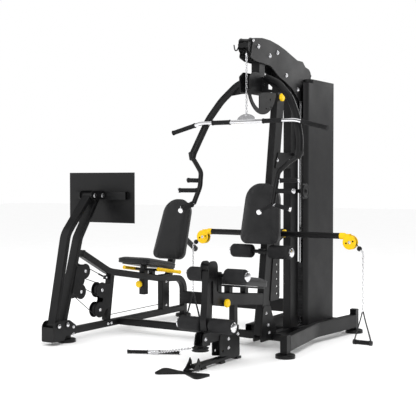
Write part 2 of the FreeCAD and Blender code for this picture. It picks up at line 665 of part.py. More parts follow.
def solid_post(upright):
    """The front upright without its hollow, to trim what meets it."""
    low_y = upright_face(60) + size("upright_deep") / 2
    lean = math.atan(size("upright_lean"))
    tall = 2000.0
    slab_box = Part.makeBox(SIDE, size("upright_deep"), tall, vec(-HALF, -size("upright_deep") / 2, 0))
    slab_box.rotate(vec(0, 0, 0), X_AXIS, -math.degrees(lean))
    slab_box.translate(vec(0, low_y + 0.5, 60))
    return feature(slab_box, "solid_upright")


def spine_prism():
    points = [(-600, spine_top(-600)), (300, spine_top(300)), (300, 200), (-600, 200)]
    return plate_shape(points, [0] * 4, -60, 60)


def solid_prism(y_low, y_high):
    points = [(y_low - 5, spine_top(y_low - 5) - size("low_beam_tall") * 1.00625),
              (y_high + 5, spine_top(y_high + 5) - size("low_beam_tall") * 1.00625),
              (y_high + 5, 700), (y_low - 5, 700)]
    return feature(plate_shape(points, [0] * 4, -60, 60), "above_spine")


def seat_block(wide, y_low, y_high, top_at_zero, slope, thick):
    """A seat slab with rounded corners whose top falls to the rear by slope."""
    half = wide / 2
    low, high = vec(-half, y_low, 0), vec(half, y_high, 0)
    corners = [low, vec(half, y_low, 0), high, vec(-half, y_high, 0)]
    blank = Part.Face(Part.Wire(closed_outline(corners, [45] * 4))).extrude(Z_AXIS * 1200)
    before, after = y_low - 5, y_high + 5
    top_before, top_after = top_at_zero - slope * before, top_at_zero - slope * after
    points = [(before, top_before), (after, top_after), (after, top_after - thick), (before, top_before - thick)]
    return blank.common(plate_shape(points, [0] * 4, -half - 5, half + 5))


def leg_lever():
    outline = [(-546, 600), (-492, 600), (-496, 400), (-508, 230), (-562, 222), (-574, 290), (-555, 417),
               (-548, 560)]
    tube = plate_shape(outline, [12, 20, 60, 8, 8, 60, 200, 60], -22, 22)
    bore = bar((-30, *LEVER_HINGE), (30, *LEVER_HINGE), 10.0)
    y, z = ANKLE_ROLLERS
    rod_hole = bar((-30, y, z), (30, y, z), size("rod_radius") + 0.05)
    label(feature(tube.cut(bore).cut(rod_hole)), "leg_lever")
    foam, rod = roller_pair(*ANKLE_ROLLERS, 32, 160)
    label(feature(foam), "ankle_rollers")
    label(feature(rod), "ankle_roller_rod")


# ---------------------------------------------------------------- press arms and lat bar
ARM_PATH = [(61, 110, 1835), (160, 100, 1790), (262, 72, 1690), (335, 24, 1565), (385, -30, 1410),
            (405, -75, 1318)]
LOWER_PATH = [(402, -80, 1308), (345, -116, 1262), (290, -142, 1205), (283, -165, 1110), (294, -225, 1000)]


def arm_shape(sign):
    """One side of the chest press arm with its four hand grips."""
    upper = [(sign * x, y, z) for x, y, z in ARM_PATH]
    lower = [(sign * x, y, z) for x, y, z in LOWER_PATH]
    bends = [150.0, 220.0, 300.0, 300.0]
    arm, bore = bent_rod(upper, bends, 24), bent_rod(upper, bends, 20.5)
    top, low = vec(sign * 403, -72, 1335), vec(sign * 396, -86, 1290)
    elbow = Part.makeCone(29, 20, (low - top).Length, top, low - top)
    thin = bent_rod(lower, [60.0, 60.0, 120.0], 16)
    gusset = [(sign * x, z) for x, z in ((41, 1735), (41, 1840), (100, 1815), (190, 1762), (226, 1722),
                                         (120, 1733))]
    web = plate_y(gusset, [0] * 6, 96, 104)
    gap = [(sign * x, z) for x, z in ((84, 1755), (84, 1796), (136, 1748))]
    web = web.cut(plate_y(gap, [6] * 3, 90, 110))
    return fused([arm, elbow, thin, web]).cut(bore)


def arm_grips(sign):
    """Rubber grips and their chrome ends, as two lists of shapes."""
    grip, ends = [], []
    reach = size("grip_radius")
    spans = [((286, -150, 1150), (412, -108, 1152)), ((284, -175, 1085), (424, -200, 1085)),
             ((294, -222, 1002), (400, -200, 972)), ((292, -232, 996), (288, -385, 958))]
    for start, end in spans:
        a = vec(sign * start[0], start[1], start[2])
        b = vec(sign * end[0], end[1], end[2])
        run = (b - a).normalize()
        root = a + run * 18
        grip.append(Part.makeCylinder(reach, (b - root).Length, root, run))
        ends.append(Part.makeCylinder(reach + 2, 6, b, run))
        ends.append(Part.makeCylinder(10, 18, a, run))
    return grip, ends


def press_arms():
    hinge_y, hinge_z = PRESS_HINGE
    hanger = cuboid((-30, 75, 1750), (30, 150, 1935)).cut(bar((-40, *PRESS_HINGE), (40, *PRESS_HINGE), 12.05))
    label(feature(hanger), "press_hanger")
    label(feature(bar((-58, *PRESS_HINGE), (58, *PRESS_HINGE), 12)), "press_hinge_pin")
    yoke_line = [(-60, 1727), (180, 1741), (172, 1800), (120, 1862), (-20, 1862), (-70, 1830)]
    cheeks = [plate_shape(yoke_line, [10, 20, 30, 30, 20, 10], x, x + 8, [(hinge_y, hinge_z, 12.1)])
              for x in (33, -41)]
    front = cuboid((-41, 4, 1740), (41, 12, 1845))
    quadrant = bar((33, hinge_y, hinge_z), (41, hinge_y, hinge_z), 198)
    quadrant = quadrant.cut(cuboid((0, -200, 1745), (60, 400, 2000)))
    window = bar((30, hinge_y, hinge_z), (44, hinge_y, hinge_z), 168)
    window = window.common(cuboid((30, -80, 1600), (44, 62, 1712)))
    notches = [bar((30, y, z), (44, y, z), 7) for y, z in ((207, 1696), (217, 1645), (150, 1632))]
    quadrant = quadrant.cut(Part.makeCompound([window] + notches))
    quadrant = quadrant.cut(bar((30, *PRESS_HINGE), (44, *PRESS_HINGE), 12.1))
    label(feature(fused(cheeks + [front, quadrant])), "press_yoke")
    arms = [arm_shape(s).cut(cuboid((-41.0, -200, 1500), (41.0, 400, 2000))) for s in (-1, 1)]
    pin_room = bar((-60, *PRESS_HINGE), (60, *PRESS_HINGE), 12.6)
    arms = [arm.cut(pin_room) for arm in arms]
    all_grips, all_ends = [], []
    for sign, arm, side in ((1, arms[0], "left"), (-1, arms[1], "right")):
        grip, ends = arm_grips(-sign)
        whole = Part.makeCompound(grip)
        label(feature(arm.cut(Part.makeCompound(grip + ends))), f"press_arm_{side}")
        all_grips += grip
        all_ends += ends
    label(group(all_grips), "press_grips")
    label(group(all_ends), "press_grip_ends")


def lat_bar():
    y = -43
    wire = [(-583, y, 1477), (-354, y, 1536), (354, y, 1536), (583, y, 1477)]
    rod = bent_rod(wire, [90.0, 90.0], 12.5)
    bracket = plate_y([(-69, 1549), (69, 1549), (69, 1556), (30, 1584), (-30, 1584), (-69, 1556)],
                      [2, 2, 4, 25, 25, 4], y - 5, y + 5)
    label(feature(rod), "lat_bar_rod")
    label(feature(bracket), "lat_bar_bracket")
    grips = []
    for s in (-1, 1):
        sleeve = bar((s * 124, y, 1536), (s * 262, y, 1536), 15.5)
        grips.append(sleeve.cut(bar((s * 120, y, 1536), (s * 270, y, 1536), 12.6)))
        run = (vec(s * 583, y, 1477) - vec(s * 354, y, 1536)).normalize()
        a, b = vec(s * 354, y, 1536) + run * 50, vec(s * 583, y, 1477) + run * 4
        outer = Part.makeCylinder(15.5, (b - a).Length, a, run)
        grips.append(outer.cut(Part.makeCylinder(12.6, (b - a).Length - 4, a, run)))
    label(group(grips), "lat_bar_grips")
    label(group(link_chain((0, y, 1955), (0, y, 1594))), "lat_chain")
    fitting = bar((0, y, 1985), (0, y, 1962), 8)
    label(feature(fitting), "cable_end_fitting")


def plate_y(points, radii, y_low, y_high):
    """A flat plate with an outline in the XZ plane, between two Y values."""
    outline = Part.Wire(closed_outline([vec(x, 0, z) for x, z in points], radii))
    plate = Part.Face(outline).extrude(vec(0, y_high - y_low, 0))
    plate.translate(vec(0, y_low, 0))
    return plate


# ---------------------------------------------------------------- crossbar with pulleys and handles
SWIVEL_RADIUS = 48.0


def crossbar():
    y, z, half = size("crossbar_y"), size("crossbar_z"), size("crossbar_half")
    bore = drum((0, y, z), X_AXIS, 2 * half, size("crossbar_radius") - size("tube_wall"))
    label(carve(drum((0, y, z), X_AXIS, 2 * half, "crossbar_radius"), bore), "crossbar_tube")
    for sign, side in ((1, "right"), (-1, "left")):
        def at(x_low, x_high):
            return sorted((sign * x_low, sign * x_high))
        collar = bar((sign * (half + 1), y, z), (sign * (half + 40), y, z), 22)
        wheel_x, wheel_z = sign * (half + 74), z - 40
        near_x, far_x = at(half + 32, half + 74)
        cheeks = []
        for offset in (-17, 13):
            disc = Part.makeCylinder(SWIVEL_RADIUS, 4, vec(wheel_x, y + offset, wheel_z), Y_AXIS)
            arm = cuboid((near_x, y + offset, wheel_z), (far_x, y + offset + 4, z + 14))
            slots = [Part.makeCylinder(6, 6, vec(wheel_x + s * 24, y + offset - 1, wheel_z + s * 7), Y_AXIS)
                     for s in (-1, 1)]
            cheeks.append(disc.fuse(arm).cut(Part.makeCompound(slots)))
        near_x, far_x = at(half + 32, half + 44)
        neck = cuboid((near_x, y - 17, z - 14), (far_x, y + 17, z + 14))
        housing = fused([collar, neck] + cheeks)
        wheel = pulley_y((wheel_x, y, wheel_z), 0.8)
        neck_room = cuboid((near_x - 1, y - 12, z - 16), (far_x + 1, y + 12, z + 16))
        wheel_room = Part.makeCylinder(45, 24, vec(wheel_x, y - 12, wheel_z), Y_AXIS)
        housing = housing.cut(neck_room.common(wheel_room))
        pin = Part.makeCylinder(6, 34, vec(wheel_x, y - 17, wheel_z), Y_AXIS)
        label(feature(housing.cut(pin)), f"swivel_shell_{side}")
        label(feature(wheel.fuse(pin)), f"swivel_pulley_{side}")
        hang_x = sign * (half + 165)
        ball = Part.makeSphere(17, vec(hang_x - sign * 26, y, z - 80))
        label(feature(ball), f"ball_stop_{side}")
        chain_top = z - 93
        raised = 0 if sign > 0 else 45
        chain = link_chain((hang_x, y, chain_top), (hang_x, y, 306 + raised))
        label(group(chain), f"handle_chain_{side}")
        top, low, spread = (hang_x, y, 296 + raised), 88 + raised, 58
        strap = [bar(top, (hang_x + s * spread, y, low), 5) for s in (-1, 1)]
        strap.append(bar((hang_x - spread - 8, y, low), (hang_x + spread + 8, y, low), 8))
        grip = bar((hang_x - spread + 8, y, low), (hang_x + spread - 8, y, low), size("grip_radius"))
        label(feature(fused(strap).cut(grip)), f"handle_strap_{side}")
        label(feature(grip), f"handle_grip_{side}")


def pulley_y(centre, scale):
    wheel = pulley_shape((0, 0, 0), scale)
    wheel.rotate(vec(0, 0, 0), Z_AXIS, 90)
    wheel.translate(vec(*centre))
    return wheel


# ---------------------------------------------------------------- leg press station
FRONT_ARM = [(-448, 134), (-305, 770), (-58, 1040)]
REAR_ARM = [(-358, 134), (-175, 738), (32, 1040)]
STRUT = [(146, 98), (200, 440)]
RAIL = [(-130, 618), (172, 465), (850, 350), (1190, 326), (1190, 25)]
RAIL_BENDS = [260.0, 900.0, 110.0]
ARM_PULLEYS = [(-140, 494), (-188, 349)]
STRUT_PULLEYS = [(66, 335), (41, 190)]
RAIL_SLOPE = 0.17


def press_point(y, z):
    return (PRESS_X, y, z)


def press_frame():
    base = straight_tube(press_point(-260, 74), press_point(1165, 74), "tube_side", "press_base_tall")
    label(base, "press_base_beam")
    cheek = [(-500, 25), (-390, 25), (-365, 56), (-260, 56), (-260, 120), (-330, 165), (-470, 168),
             (-500, 140)]
    cheeks = [plate_shape(cheek, [10, 20, 10, 6, 30, 40, 40, 40], PRESS_X + x, PRESS_X + x + STEEL,
                          [(y, z, 10.0) for y, z in (FRONT_ARM[0], REAR_ARM[0])])
              for x in (49, -55)]
    floor = cuboid((PRESS_X - 49, -500, 25), (PRESS_X + 49, -396, 31))
    toe = cuboid((PRESS_X - 49, -500, 31), (PRESS_X + 49, -494, 128))
    shelf = cuboid((PRESS_X - 49, -366, 56), (PRESS_X + 49, -260, 62))
    web = cuboid((PRESS_X - 49, -266, 62), (PRESS_X + 49, -260, 120))
    stem = bar((PRESS_X, -300, 25), (PRESS_X, -300, 56), 30)
    label(feature(fused(cheeks + [floor, toe, shelf, web, stem])), "press_base_bracket")
    pins = []
    for y, z in (FRONT_ARM[0], REAR_ARM[0]):
        pin = bar((PRESS_X - 55, y, z), (PRESS_X + 55, y, z), 9.95)
        caps = [bar((PRESS_X + s * 55, y, z), (PRESS_X + s * 62, y, z), 16) for s in (-1, 1)]
        pins.append(fused([pin] + caps))
    label(group(pins), "press_base_pins")
    rail_path = [press_point(y, z) for y, z in RAIL]
    rail = feature(bent_tube(rail_path, RAIL_BENDS, SIDE, SIDE, X_AXIS))
    sleeve_block = block((PRESS_X - HALF, 600, 245), (PRESS_X + HALF, 650, 440))
    rail_node = fitted(rail, "press_rail", sleeve_block)
    rail_solid = feature(bent_tube(rail_path, RAIL_BENDS, SIDE, SIDE, X_AXIS, hollow=False))
    strut = straight_tube(press_point(*STRUT[0]), press_point(*STRUT[1]))
    floor_trim = block((PRESS_X - 60, 50, 50), (PRESS_X + 60, 300, 98))
    fitted(strut, "press_strut", rail_solid, floor_trim)
    inner = straight_tube(press_point(900, 98), press_point(900, 380), "tube_side", "beam_tall")
    fitted(inner, "press_inner_post", rail_solid)
    sleeve = cuboid((PRESS_X - HALF, 600, 245), (PRESS_X + HALF, 650, 440))
    sleeve = sleeve.cut(cuboid((PRESS_X - 22, 603, 244), (PRESS_X + 22, 647, 441)))
    label(feature(sleeve), "press_seat_sleeve")
    label(straight_tube(press_point(976.5, 376.2), press_point(1136, 812)), "press_back_post")
    shoe = plate_shape([(953, 384.5), (999.8, 367.6), (999, 365.6), (953, 368.4)], [0] * 4,
                       PRESS_X - HALF, PRESS_X + HALF)
    label(feature(shoe), "press_back_shoe")
    lean = math.atan((1136 - 966) / (812 - 345))
    outward = vec(0, math.cos(lean), -math.sin(lean))
    weld = vec(*press_point(1103.2, 722)) + outward * HALF
    ring = Part.Face(Part.Wire(Part.Circle(weld, outward, 24).toShape()))
    rear_piece = ring.extrude(vec(*press_point(1380, 560)) - weld)
    label(feature(rear_piece), "press_back_stub")
    cap = Part.makeBox(52, 52, 10, vec(-26, -26, 0))
    cap.Placement = FreeCAD.Placement(vec(*press_point(-130, 618)), rail_turn())
    bolts = [bar((PRESS_X + s * 55, y, z), (PRESS_X + s * 62, y, z), 8) for s in (-1, 1)
             for y, z in ((-290, 60), (-290, 110))]
    bolts += [bar((PRESS_X + s * HALF, y, z), (PRESS_X + s * (HALF + 7), y, z), 8) for s in (-1, 1)
              for y, z in ((140, 74), (180, 74), (900, 130), (900, 320))]
    label(group([cap]), "press_rail_bumper")
    label(group(bolts), "press_bolts")
    cross = bar((PRESS_X - 168, 735, 432), (PRESS_X + 168, 735, 432), 11)
    riser = cuboid((PRESS_X - 20, 715, 380), (PRESS_X + 20, 755, 430)).cut(rail_solid.Shape)
    label(feature(fused([cross, riser])), "side_grip_mount")
    grips = [bar((PRESS_X + s * 168, 590, 454), (PRESS_X + s * 168, 890, 408), 14).cut(cross)
             for s in (-1, 1)]
    label(group(grips), "side_grips")
    pad = pad_shape(310, 252, 515, 56, 118, 55, press_point(935, 515), 20)
    label(feature(pad), "press_backrest_pad")
    board = pad_shape(240, 200, 430, 6, 60, 30, press_point(1005.5, 532), 20)
    solid_back = tube_solid(press_point(966, 345), press_point(1136, 812), 520)
    board = max(board.cut(solid_back).Solids, key=lambda s: s.Volume)
    label(feature(board), "press_backrest_board")
    web = [(66, 380), (186, 372), (172, 225), (60, 140), (41, 190), (80, 262), (66, 335)]
    strut_plates = [twin_plate(STRUT_PULLEYS, 58, web, PRESS_X + x, 4) for x in (HALF, -HALF - 4)]
    label(group(strut_plates), "strut_pulley_plates")


def rail_turn():
    direction = vec(0, -(172 + 130), 618 - 465).normalize()
    return FreeCAD.Rotation(X_AXIS, direction.cross(X_AXIS), direction, "ZXY")


def tube_solid(start, towards, length):
    """A square tube without its hollow, to trim what bolts to it."""
    start, towards = vec(*start), vec(*towards)
    direction = (towards - start).normalize()
    full = Part.makeBox(SIDE, SIDE, length, vec(-HALF, -HALF, 0))
    full.Placement = FreeCAD.Placement(start, FreeCAD.Rotation(X_AXIS, direction.cross(X_AXIS), direction,
                                                              "ZXY"))
    return full


def press_arm_piece(path, name):
    """One arm of the leg press parallelogram: bent flat tube with a bush at each end."""
    points = [press_point(y, z) for y, z in path]
    wide, deep = size("press_arm_wide"), size("press_arm_deep")
    tube = bent_tube(points, [160.0], wide, deep, X_AXIS)
    bushes, bores = [], []
    for y, z in (path[0], path[-1]):
        bushes.append(bar((PRESS_X - 48, y, z), (PRESS_X + 48, y, z), 21))
        bores.append(bar((PRESS_X - 49, y, z), (PRESS_X + 49, y, z), 10.0))
    arm = fused([tube] + bushes)
    for bore in bores:
        arm = arm.cut(bore)
    return label(feature(arm), name)


def twin_plate(centres, radius, web, x_low, thick):
    """A pulley side plate: a disc over each pulley and a web that ties them to their tube."""
    discs = [bar((x_low, y, z), (x_low + thick, y, z), radius) for y, z in centres]
    return fused(discs + [plate_shape(web, [0] * len(web), x_low, x_low + thick)])


def press_linkage():
    press_arm_piece(FRONT_ARM, "press_front_arm")
    press_arm_piece(REAR_ARM, "press_rear_arm")
    web = [(-140, 494), (-140, 535), (-232, 535), (-286, 345), (-188, 310), (-188, 349), (-148, 425)]
    blades = [twin_plate(ARM_PULLEYS, 54, web, PRESS_X + x, 4) for x in (37.6, -41.6)]
    axles = [bar((PRESS_X - 41.6, y, z), (PRESS_X + 41.6, y, z), 6) for y, z in ARM_PULLEYS]
    label(feature(fused(blades + axles)), "arm_pulley_plates")
    for index, (y, z) in enumerate(ARM_PULLEYS, start=1):
        label(feature(pulley_shape(press_point(y, z), 0.9)), f"arm_pulley_{index}")
    for index, (y, z) in enumerate(STRUT_PULLEYS, start=1):
        label(feature(pulley_shape(press_point(y, z), 0.9)), f"strut_pulley_{index}")
    axles = [bar((PRESS_X - HALF, y, z), (PRESS_X + HALF, y, z), 6) for y, z in STRUT_PULLEYS]
    label(group(axles), "strut_pulley_axles")
    plate_low, plate_high = 837.0, 837.0 + size("press_plate_tall")
    thick, wide = size("press_plate_thick"), size("press_plate_wide")
    middle = PRESS_X
    sheet_plate = block((middle - wide / 2, 95, plate_low), (middle + wide / 2, 95 + thick, plate_high))
    label(sheet_plate, "press_foot_plate")
    holes = [(FRONT_ARM[-1][0], FRONT_ARM[-1][1], 10.0), (REAR_ARM[-1][0], REAR_ARM[-1][1], 13.0)]
    ear = [(-92, 1012), (60, 1012), (60, 1076), (-70, 1076), (-92, 1060)]
    ears = [plate_shape(ear, [25, 2, 2, 25, 20], middle + x, middle + x + STEEL, holes) for x in (51, -57)]
    channel = cuboid((middle - 250, 62, 1010), (middle + 250, 94.9, 1068))
    channel = channel.cut(cuboid((middle - 251, 66, 1014), (middle + 251, 91, 1064)))
    label(feature(fused(ears + [channel])), "foot_plate_bracket")
    y, z = FRONT_ARM[-1]
    pin = [bar((middle - 57, y, z), (middle + 57, y, z), 9.95)]
    pin += [bar((middle + s * 57, y, z), (middle + s * 64, y, z), 16) for s in (-1, 1)]
    label(feature(fused(pin)), "foot_plate_pin")
    y, z = REAR_ARM[-1]
    pin = [bar((middle - 58, y, z), (middle + 58, y, z), 9.95)]
    pin += [bar((middle + s * 58, y, z), (middle + s * 64, y, z), 16) for s in (-1, 1)]
    label(feature(fused(pin)), "rear_arm_top_pin")


def press_seat():
    blank = seat_block(300, 461, 880, 555 + 461 * RAIL_SLOPE, RAIL_SLOPE, 48)
    blank.translate(vec(PRESS_X, 0, 0))
    label(feature(blank), "press_seat_pad")
    top = 555 + 461 * RAIL_SLOPE
    board = seat_block(250, 480, 860, top - 48.2, RAIL_SLOPE, 8)
    board.translate(vec(PRESS_X, 0, 0))
    post = cuboid((PRESS_X - 19, 606, 262), (PRESS_X + 19, 644, 470))
    label(feature(fused([board, post])), "press_seat_post")


# ---------------------------------------------------------------- knobs, low row and footplate
def knobs():
    label(feature(knob_shape(press_point(599, 330), (0, -1, 0), 26)), "press_seat_knob")
    label(feature(knob_shape((HALF, -360, 380), (1, 0, 0), 10)), "spine_knob")
    label(feature(knob_shape((HALF, 372, 1724), (1, 0, 0), 8)), "arm_knob")
    label(feature(knob_shape((31, 392, 783), (1, 0, 0), 12)), "crossbar_knob")


ROW_CHAIN_START = (-72, -600, 120)


def low_row():
    start, end = vec(-690, -431, 14), vec(-372, -271, 14)
    run = (end - start).normalize()
    middle = (start + end) * 0.5
    label(feature(Part.makeCylinder(14, (end - start).Length, start, run)), "row_bar")
    eye = middle + vec(-run.y, run.x, 0).normalize() * -20
    label(group(link_chain(ROW_CHAIN_START, (eye.x + 14, eye.y - 6, 14))), "row_chain")
    edge = [(-197, -700), (-60, -742), (60, -742), (162, -720), (150, -880), (0, -774), (-150, -888)]
    outline = Part.Wire(closed_outline([vec(x, y, 0) for x, y in edge], [25, 200, 200, 25, 25, 12, 25]))
    wing = Part.Face(outline).extrude(Z_AXIS * 8)
    wing.translate(vec(0, 0, 3))
    ears = [plate_shape([(-745, 11), (-645, 11), (-652, 60), (-668, 84), (-684, 60), (-715, 30)],
                        [3, 3, 10, 3, 10, 20], x, x + 5, [(-664, 34, 8.0)]) for x in (28, -33)]
    bridge = cuboid((-28, -745, 11), (28, -705, 17))
    label(feature(fused([wing, bridge] + ears)), "foot_rest_plate")
    tongue = [cuboid((-24, -680, 16), (24, -640, 40)).cut(bar((-40, -664, 34), (40, -664, 34), 0.1))]
    label(group(tongue), "foot_rest_tongue")


def cable_runs():
    """The cable that the frame holds all the way, from the tower to the leg press strut."""
    radius = size("cable_radius")
    spans = [bar((PRESS_X, 194, 134), (PRESS_X, 840, 140), radius),
             bar((0, -20, 2079.5), (0, 690, 1992.5), radius)]
    label(group(spans), "cable_spans")


GROUPS = {
    "floor_feet": ["side_posts", "floor_discs", "foot_beam_pads"],
    "side_beams": ["right_side_beam", "left_side_beam"],
    "cross_beams": ["front_cross_beam", "rear_cross_beam", "rear_tie_tube", "stack_base_tube",
                    "stack_cross_tubes"],
    "frame_brackets": ["foot_gussets", "perforated_plates", "upright_link_bracket", "lever_cheeks",
                       "lever_pin", "seat_roller_post", "side_pulley_bracket"],
    "uprights": ["front_upright", "rear_upright"],
    "boom_plates": ["boom_plate_right", "boom_plate_left", "boom_spacers", "boom_axles"],
    "frame_fasteners": ["frame_bolts", "low_frame_bolts", "press_bolts"],
    "nose_bracket": ["nose_cheeks", "nose_cross_bolt"],
    "shroud": ["stack_shroud", "shroud_cap"],
    "stack_guides": ["guide_rods", "stack_buffers", "stack_top_plate"],
    "lifted_plates": ["selected_weight_plates", "stack_head_plate"],
    "selector": ["selector_rod", "selector_pin"],
    "frame_cables": ["cable_spans", "side_cable"],
    "low_frame": ["seat_post", "low_beam", "foot_brackets", "foot_beam", "low_pulley_sides"],
    "pad_boards": ["seat_board", "backrest_carrier"],
    "roller_rods": ["seat_roller_rod", "back_roller_rod"],
    "lever": ["leg_lever", "ankle_roller_rod"],
    "press_mount": ["press_hanger", "press_hinge_pin"],
    "press_arms": ["press_yoke", "press_arm_left", "press_arm_right"],
    "press_handgrips": ["press_grips", "press_grip_ends"],
    "lat_bar": ["lat_bar_rod", "lat_bar_bracket", "lat_bar_grips"],
    "lat_hanger": ["lat_chain", "cable_end_fitting"],
    "swivel_right": ["swivel_shell_right", "swivel_pulley_right", "ball_stop_right"],
    "swivel_left": ["swivel_shell_left", "swivel_pulley_left", "ball_stop_left"],
    "handle_right": ["handle_chain_right", "handle_strap_right", "handle_grip_right"],
    "handle_left": ["handle_chain_left", "handle_strap_left", "handle_grip_left"],
    "press_base": ["press_base_beam", "press_base_bracket", "press_base_pins"],
    "press_frame": ["press_strut", "press_inner_post", "press_seat_sleeve",
                    "press_back_post", "press_back_shoe", "press_back_stub", "press_rail_bumper",
                    "side_grip_mount", "press_backrest_board", "strut_pulley_plates",
                    "strut_pulley_axles"],
    "press_rear_link": ["press_rear_arm", "arm_pulley_plates", "rear_arm_top_pin"],
    "foot_plate": ["press_foot_plate", "foot_plate_bracket", "foot_plate_pin"],
    "row_handle": ["row_bar", "row_chain"],
    "foot_rest": ["foot_rest_plate", "foot_rest_tongue"],
}


def gather():
    """Join the pieces that share a file into one Part::Compound each; return the finished sub-parts."""
    by_label = {node.Label: node for node in nodes}
    finished = []
    for name, members in GROUPS.items():
        compound = child("Part::Compound", name)
        compound.Links = [by_label.pop(member) for member in members]
        compound.Label = name
        finished.append(compound)
    return finished + list(by_label.values())


def write_parts():
    nodes = gather()
    doc.recompute()
    for obj in doc.Objects:
        if "Invalid" in obj.State or "Error" in obj.State:
            raise RuntimeError(f"{obj.Name} ({obj.Label}) did not build: {obj.State}")
    bad = [n.Label for n in nodes if n.Shape.isNull() or not n.Shape.isValid() or not n.Shape.Solids]
    if bad:
        raise RuntimeError(f"not valid solids: {bad}")
    whole = Part.makeCompound([node.Shape for node in nodes]).BoundBox
    shift = vec(-(whole.XMin + whole.XMax) / 2, -(whole.YMin + whole.YMax) / 2, -whole.ZMin)
    print("row_origin_in_layout", -shift.x, -shift.y, -shift.z)
    print("overall", whole.XLength, whole.YLength, whole.ZLength, "nodes", len(nodes))
    for node in nodes:
        moved = node.Shape.copy()
        moved.translate(shift)
        moved.exportStep(f"parts/{node.Label}.step")


base_frame()
upright_node = tower()
pulleys()
stack()
main_station(upright_node)
leg_lever()
press_arms()
lat_bar()
crossbar()
press_frame()
press_linkage()
press_seat()
knobs()
low_row()
cable_runs()
write_parts()
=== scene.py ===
"""Looks of the multi station home gym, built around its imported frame. Metres, +Z up."""
import json
import math
import bmesh
import bpy
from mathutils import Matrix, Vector


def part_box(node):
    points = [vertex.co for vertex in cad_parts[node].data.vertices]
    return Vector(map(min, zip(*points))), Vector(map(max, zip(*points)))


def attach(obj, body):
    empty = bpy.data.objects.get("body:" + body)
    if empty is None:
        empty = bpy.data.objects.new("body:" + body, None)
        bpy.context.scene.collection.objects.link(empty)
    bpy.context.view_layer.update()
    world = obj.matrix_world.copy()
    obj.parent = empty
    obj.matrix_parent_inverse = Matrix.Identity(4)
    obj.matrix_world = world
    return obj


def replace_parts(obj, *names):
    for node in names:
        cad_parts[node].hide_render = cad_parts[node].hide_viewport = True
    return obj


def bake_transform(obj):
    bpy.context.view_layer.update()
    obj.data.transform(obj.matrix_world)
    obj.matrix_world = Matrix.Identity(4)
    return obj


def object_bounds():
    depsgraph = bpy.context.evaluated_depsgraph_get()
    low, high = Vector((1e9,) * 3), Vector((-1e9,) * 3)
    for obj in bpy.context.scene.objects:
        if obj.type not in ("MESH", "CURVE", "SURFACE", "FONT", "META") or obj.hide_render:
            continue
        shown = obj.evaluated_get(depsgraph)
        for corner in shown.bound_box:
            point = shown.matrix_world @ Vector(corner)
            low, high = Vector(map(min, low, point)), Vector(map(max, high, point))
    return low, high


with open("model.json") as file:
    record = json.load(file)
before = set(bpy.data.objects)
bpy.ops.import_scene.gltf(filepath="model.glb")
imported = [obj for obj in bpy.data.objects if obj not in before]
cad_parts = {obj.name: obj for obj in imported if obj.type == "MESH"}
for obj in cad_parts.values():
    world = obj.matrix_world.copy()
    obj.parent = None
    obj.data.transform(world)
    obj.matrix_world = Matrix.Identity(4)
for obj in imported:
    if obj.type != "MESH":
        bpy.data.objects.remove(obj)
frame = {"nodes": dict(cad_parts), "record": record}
cad_low, cad_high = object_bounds()
nodes = frame["nodes"]

MM = 0.001
X, Y, Z = Vector((1, 0, 0)), Vector((0, 1, 0)), Vector((0, 0, 1))

# The layout frame has x = 0 on the main station's centre plane; the crossbar gives its place.
bar_low, bar_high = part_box("crossbar_tube")
CROSSBAR = Vector((0, 332, 783)) * MM
LAYOUT = (bar_low + bar_high) / 2 - CROSSBAR
PRESS_X = -1330
ARM_PULLEYS = ((-140, 494), (-188, 349))
STRUT_PULLEYS = ((66, 335), (41, 190))
FRONT_PULLEY, MID_PULLEY, REAR_PULLEY = (0, 8, 2025), (0, 712, 1940), (0, 838, 1916)
SIDE_PULLEY, LOW_PULLEY = (104, 608, 1075), (0, -600, 123)
LAT_Y = -43
SWIVEL_X, SWIVEL_Y, SWIVEL_Z, SWIVEL_RADIUS = 574, 332, 743, 48
UPRIGHT_LEAN, UPRIGHT_FACE_Y, UPRIGHT_FACE_Z = 0.1466, 160, 496


def at(x, y, z):
    """A point given in layout millimetres, in the frame's metres."""
    return LAYOUT + Vector((x, y, z)) * MM


# ---------------------------------------------------------------- materials
def new_material(name, colour, rough, metallic=0.0):
    material = bpy.data.materials.new(name)
    material.use_nodes = True
    shader = material.node_tree.nodes["Principled BSDF"]
    shader.inputs["Base Color"].default_value = (*colour, 1)
    shader.inputs["Roughness"].default_value = rough
    shader.inputs["Metallic"].default_value = metallic
    shader.inputs["Specular IOR Level"].default_value = 0.3
    return material, material.node_tree, shader


def noise_node(tree, scale, detail=3.0, kind="ShaderNodeTexNoise"):
    place = tree.nodes.new("ShaderNodeTexCoord")
    noise = tree.nodes.new(kind)
    noise.inputs["Scale"].default_value = scale
    if "Detail" in noise.inputs:
        noise.inputs["Detail"].default_value = detail
    tree.links.new(place.outputs["Object"], noise.inputs["Vector"])
    return noise


def spread(tree, source, low, high, target):
    """Map a 0 to 1 texture value to a range and feed it to a socket."""
    ramp = tree.nodes.new("ShaderNodeMapRange")
    ramp.inputs["From Min"].default_value = 0.3
    ramp.inputs["From Max"].default_value = 0.7
    ramp.inputs["To Min"].default_value = low
    ramp.inputs["To Max"].default_value = high
    tree.links.new(source, ramp.inputs["Value"])
    tree.links.new(ramp.outputs["Result"], target)


def tint(tree, shader, source, dark, light):
    """Vary the base colour between two colours by a texture value."""
    mix = tree.nodes.new("ShaderNodeValToRGB")
    mix.color_ramp.elements[0].position = 0.35
    mix.color_ramp.elements[0].color = (*dark, 1)
    mix.color_ramp.elements[1].position = 0.68
    mix.color_ramp.elements[1].color = (*light, 1)
    tree.links.new(source, mix.inputs["Fac"])
    tree.links.new(mix.outputs["Color"], shader.inputs["Base Color"])


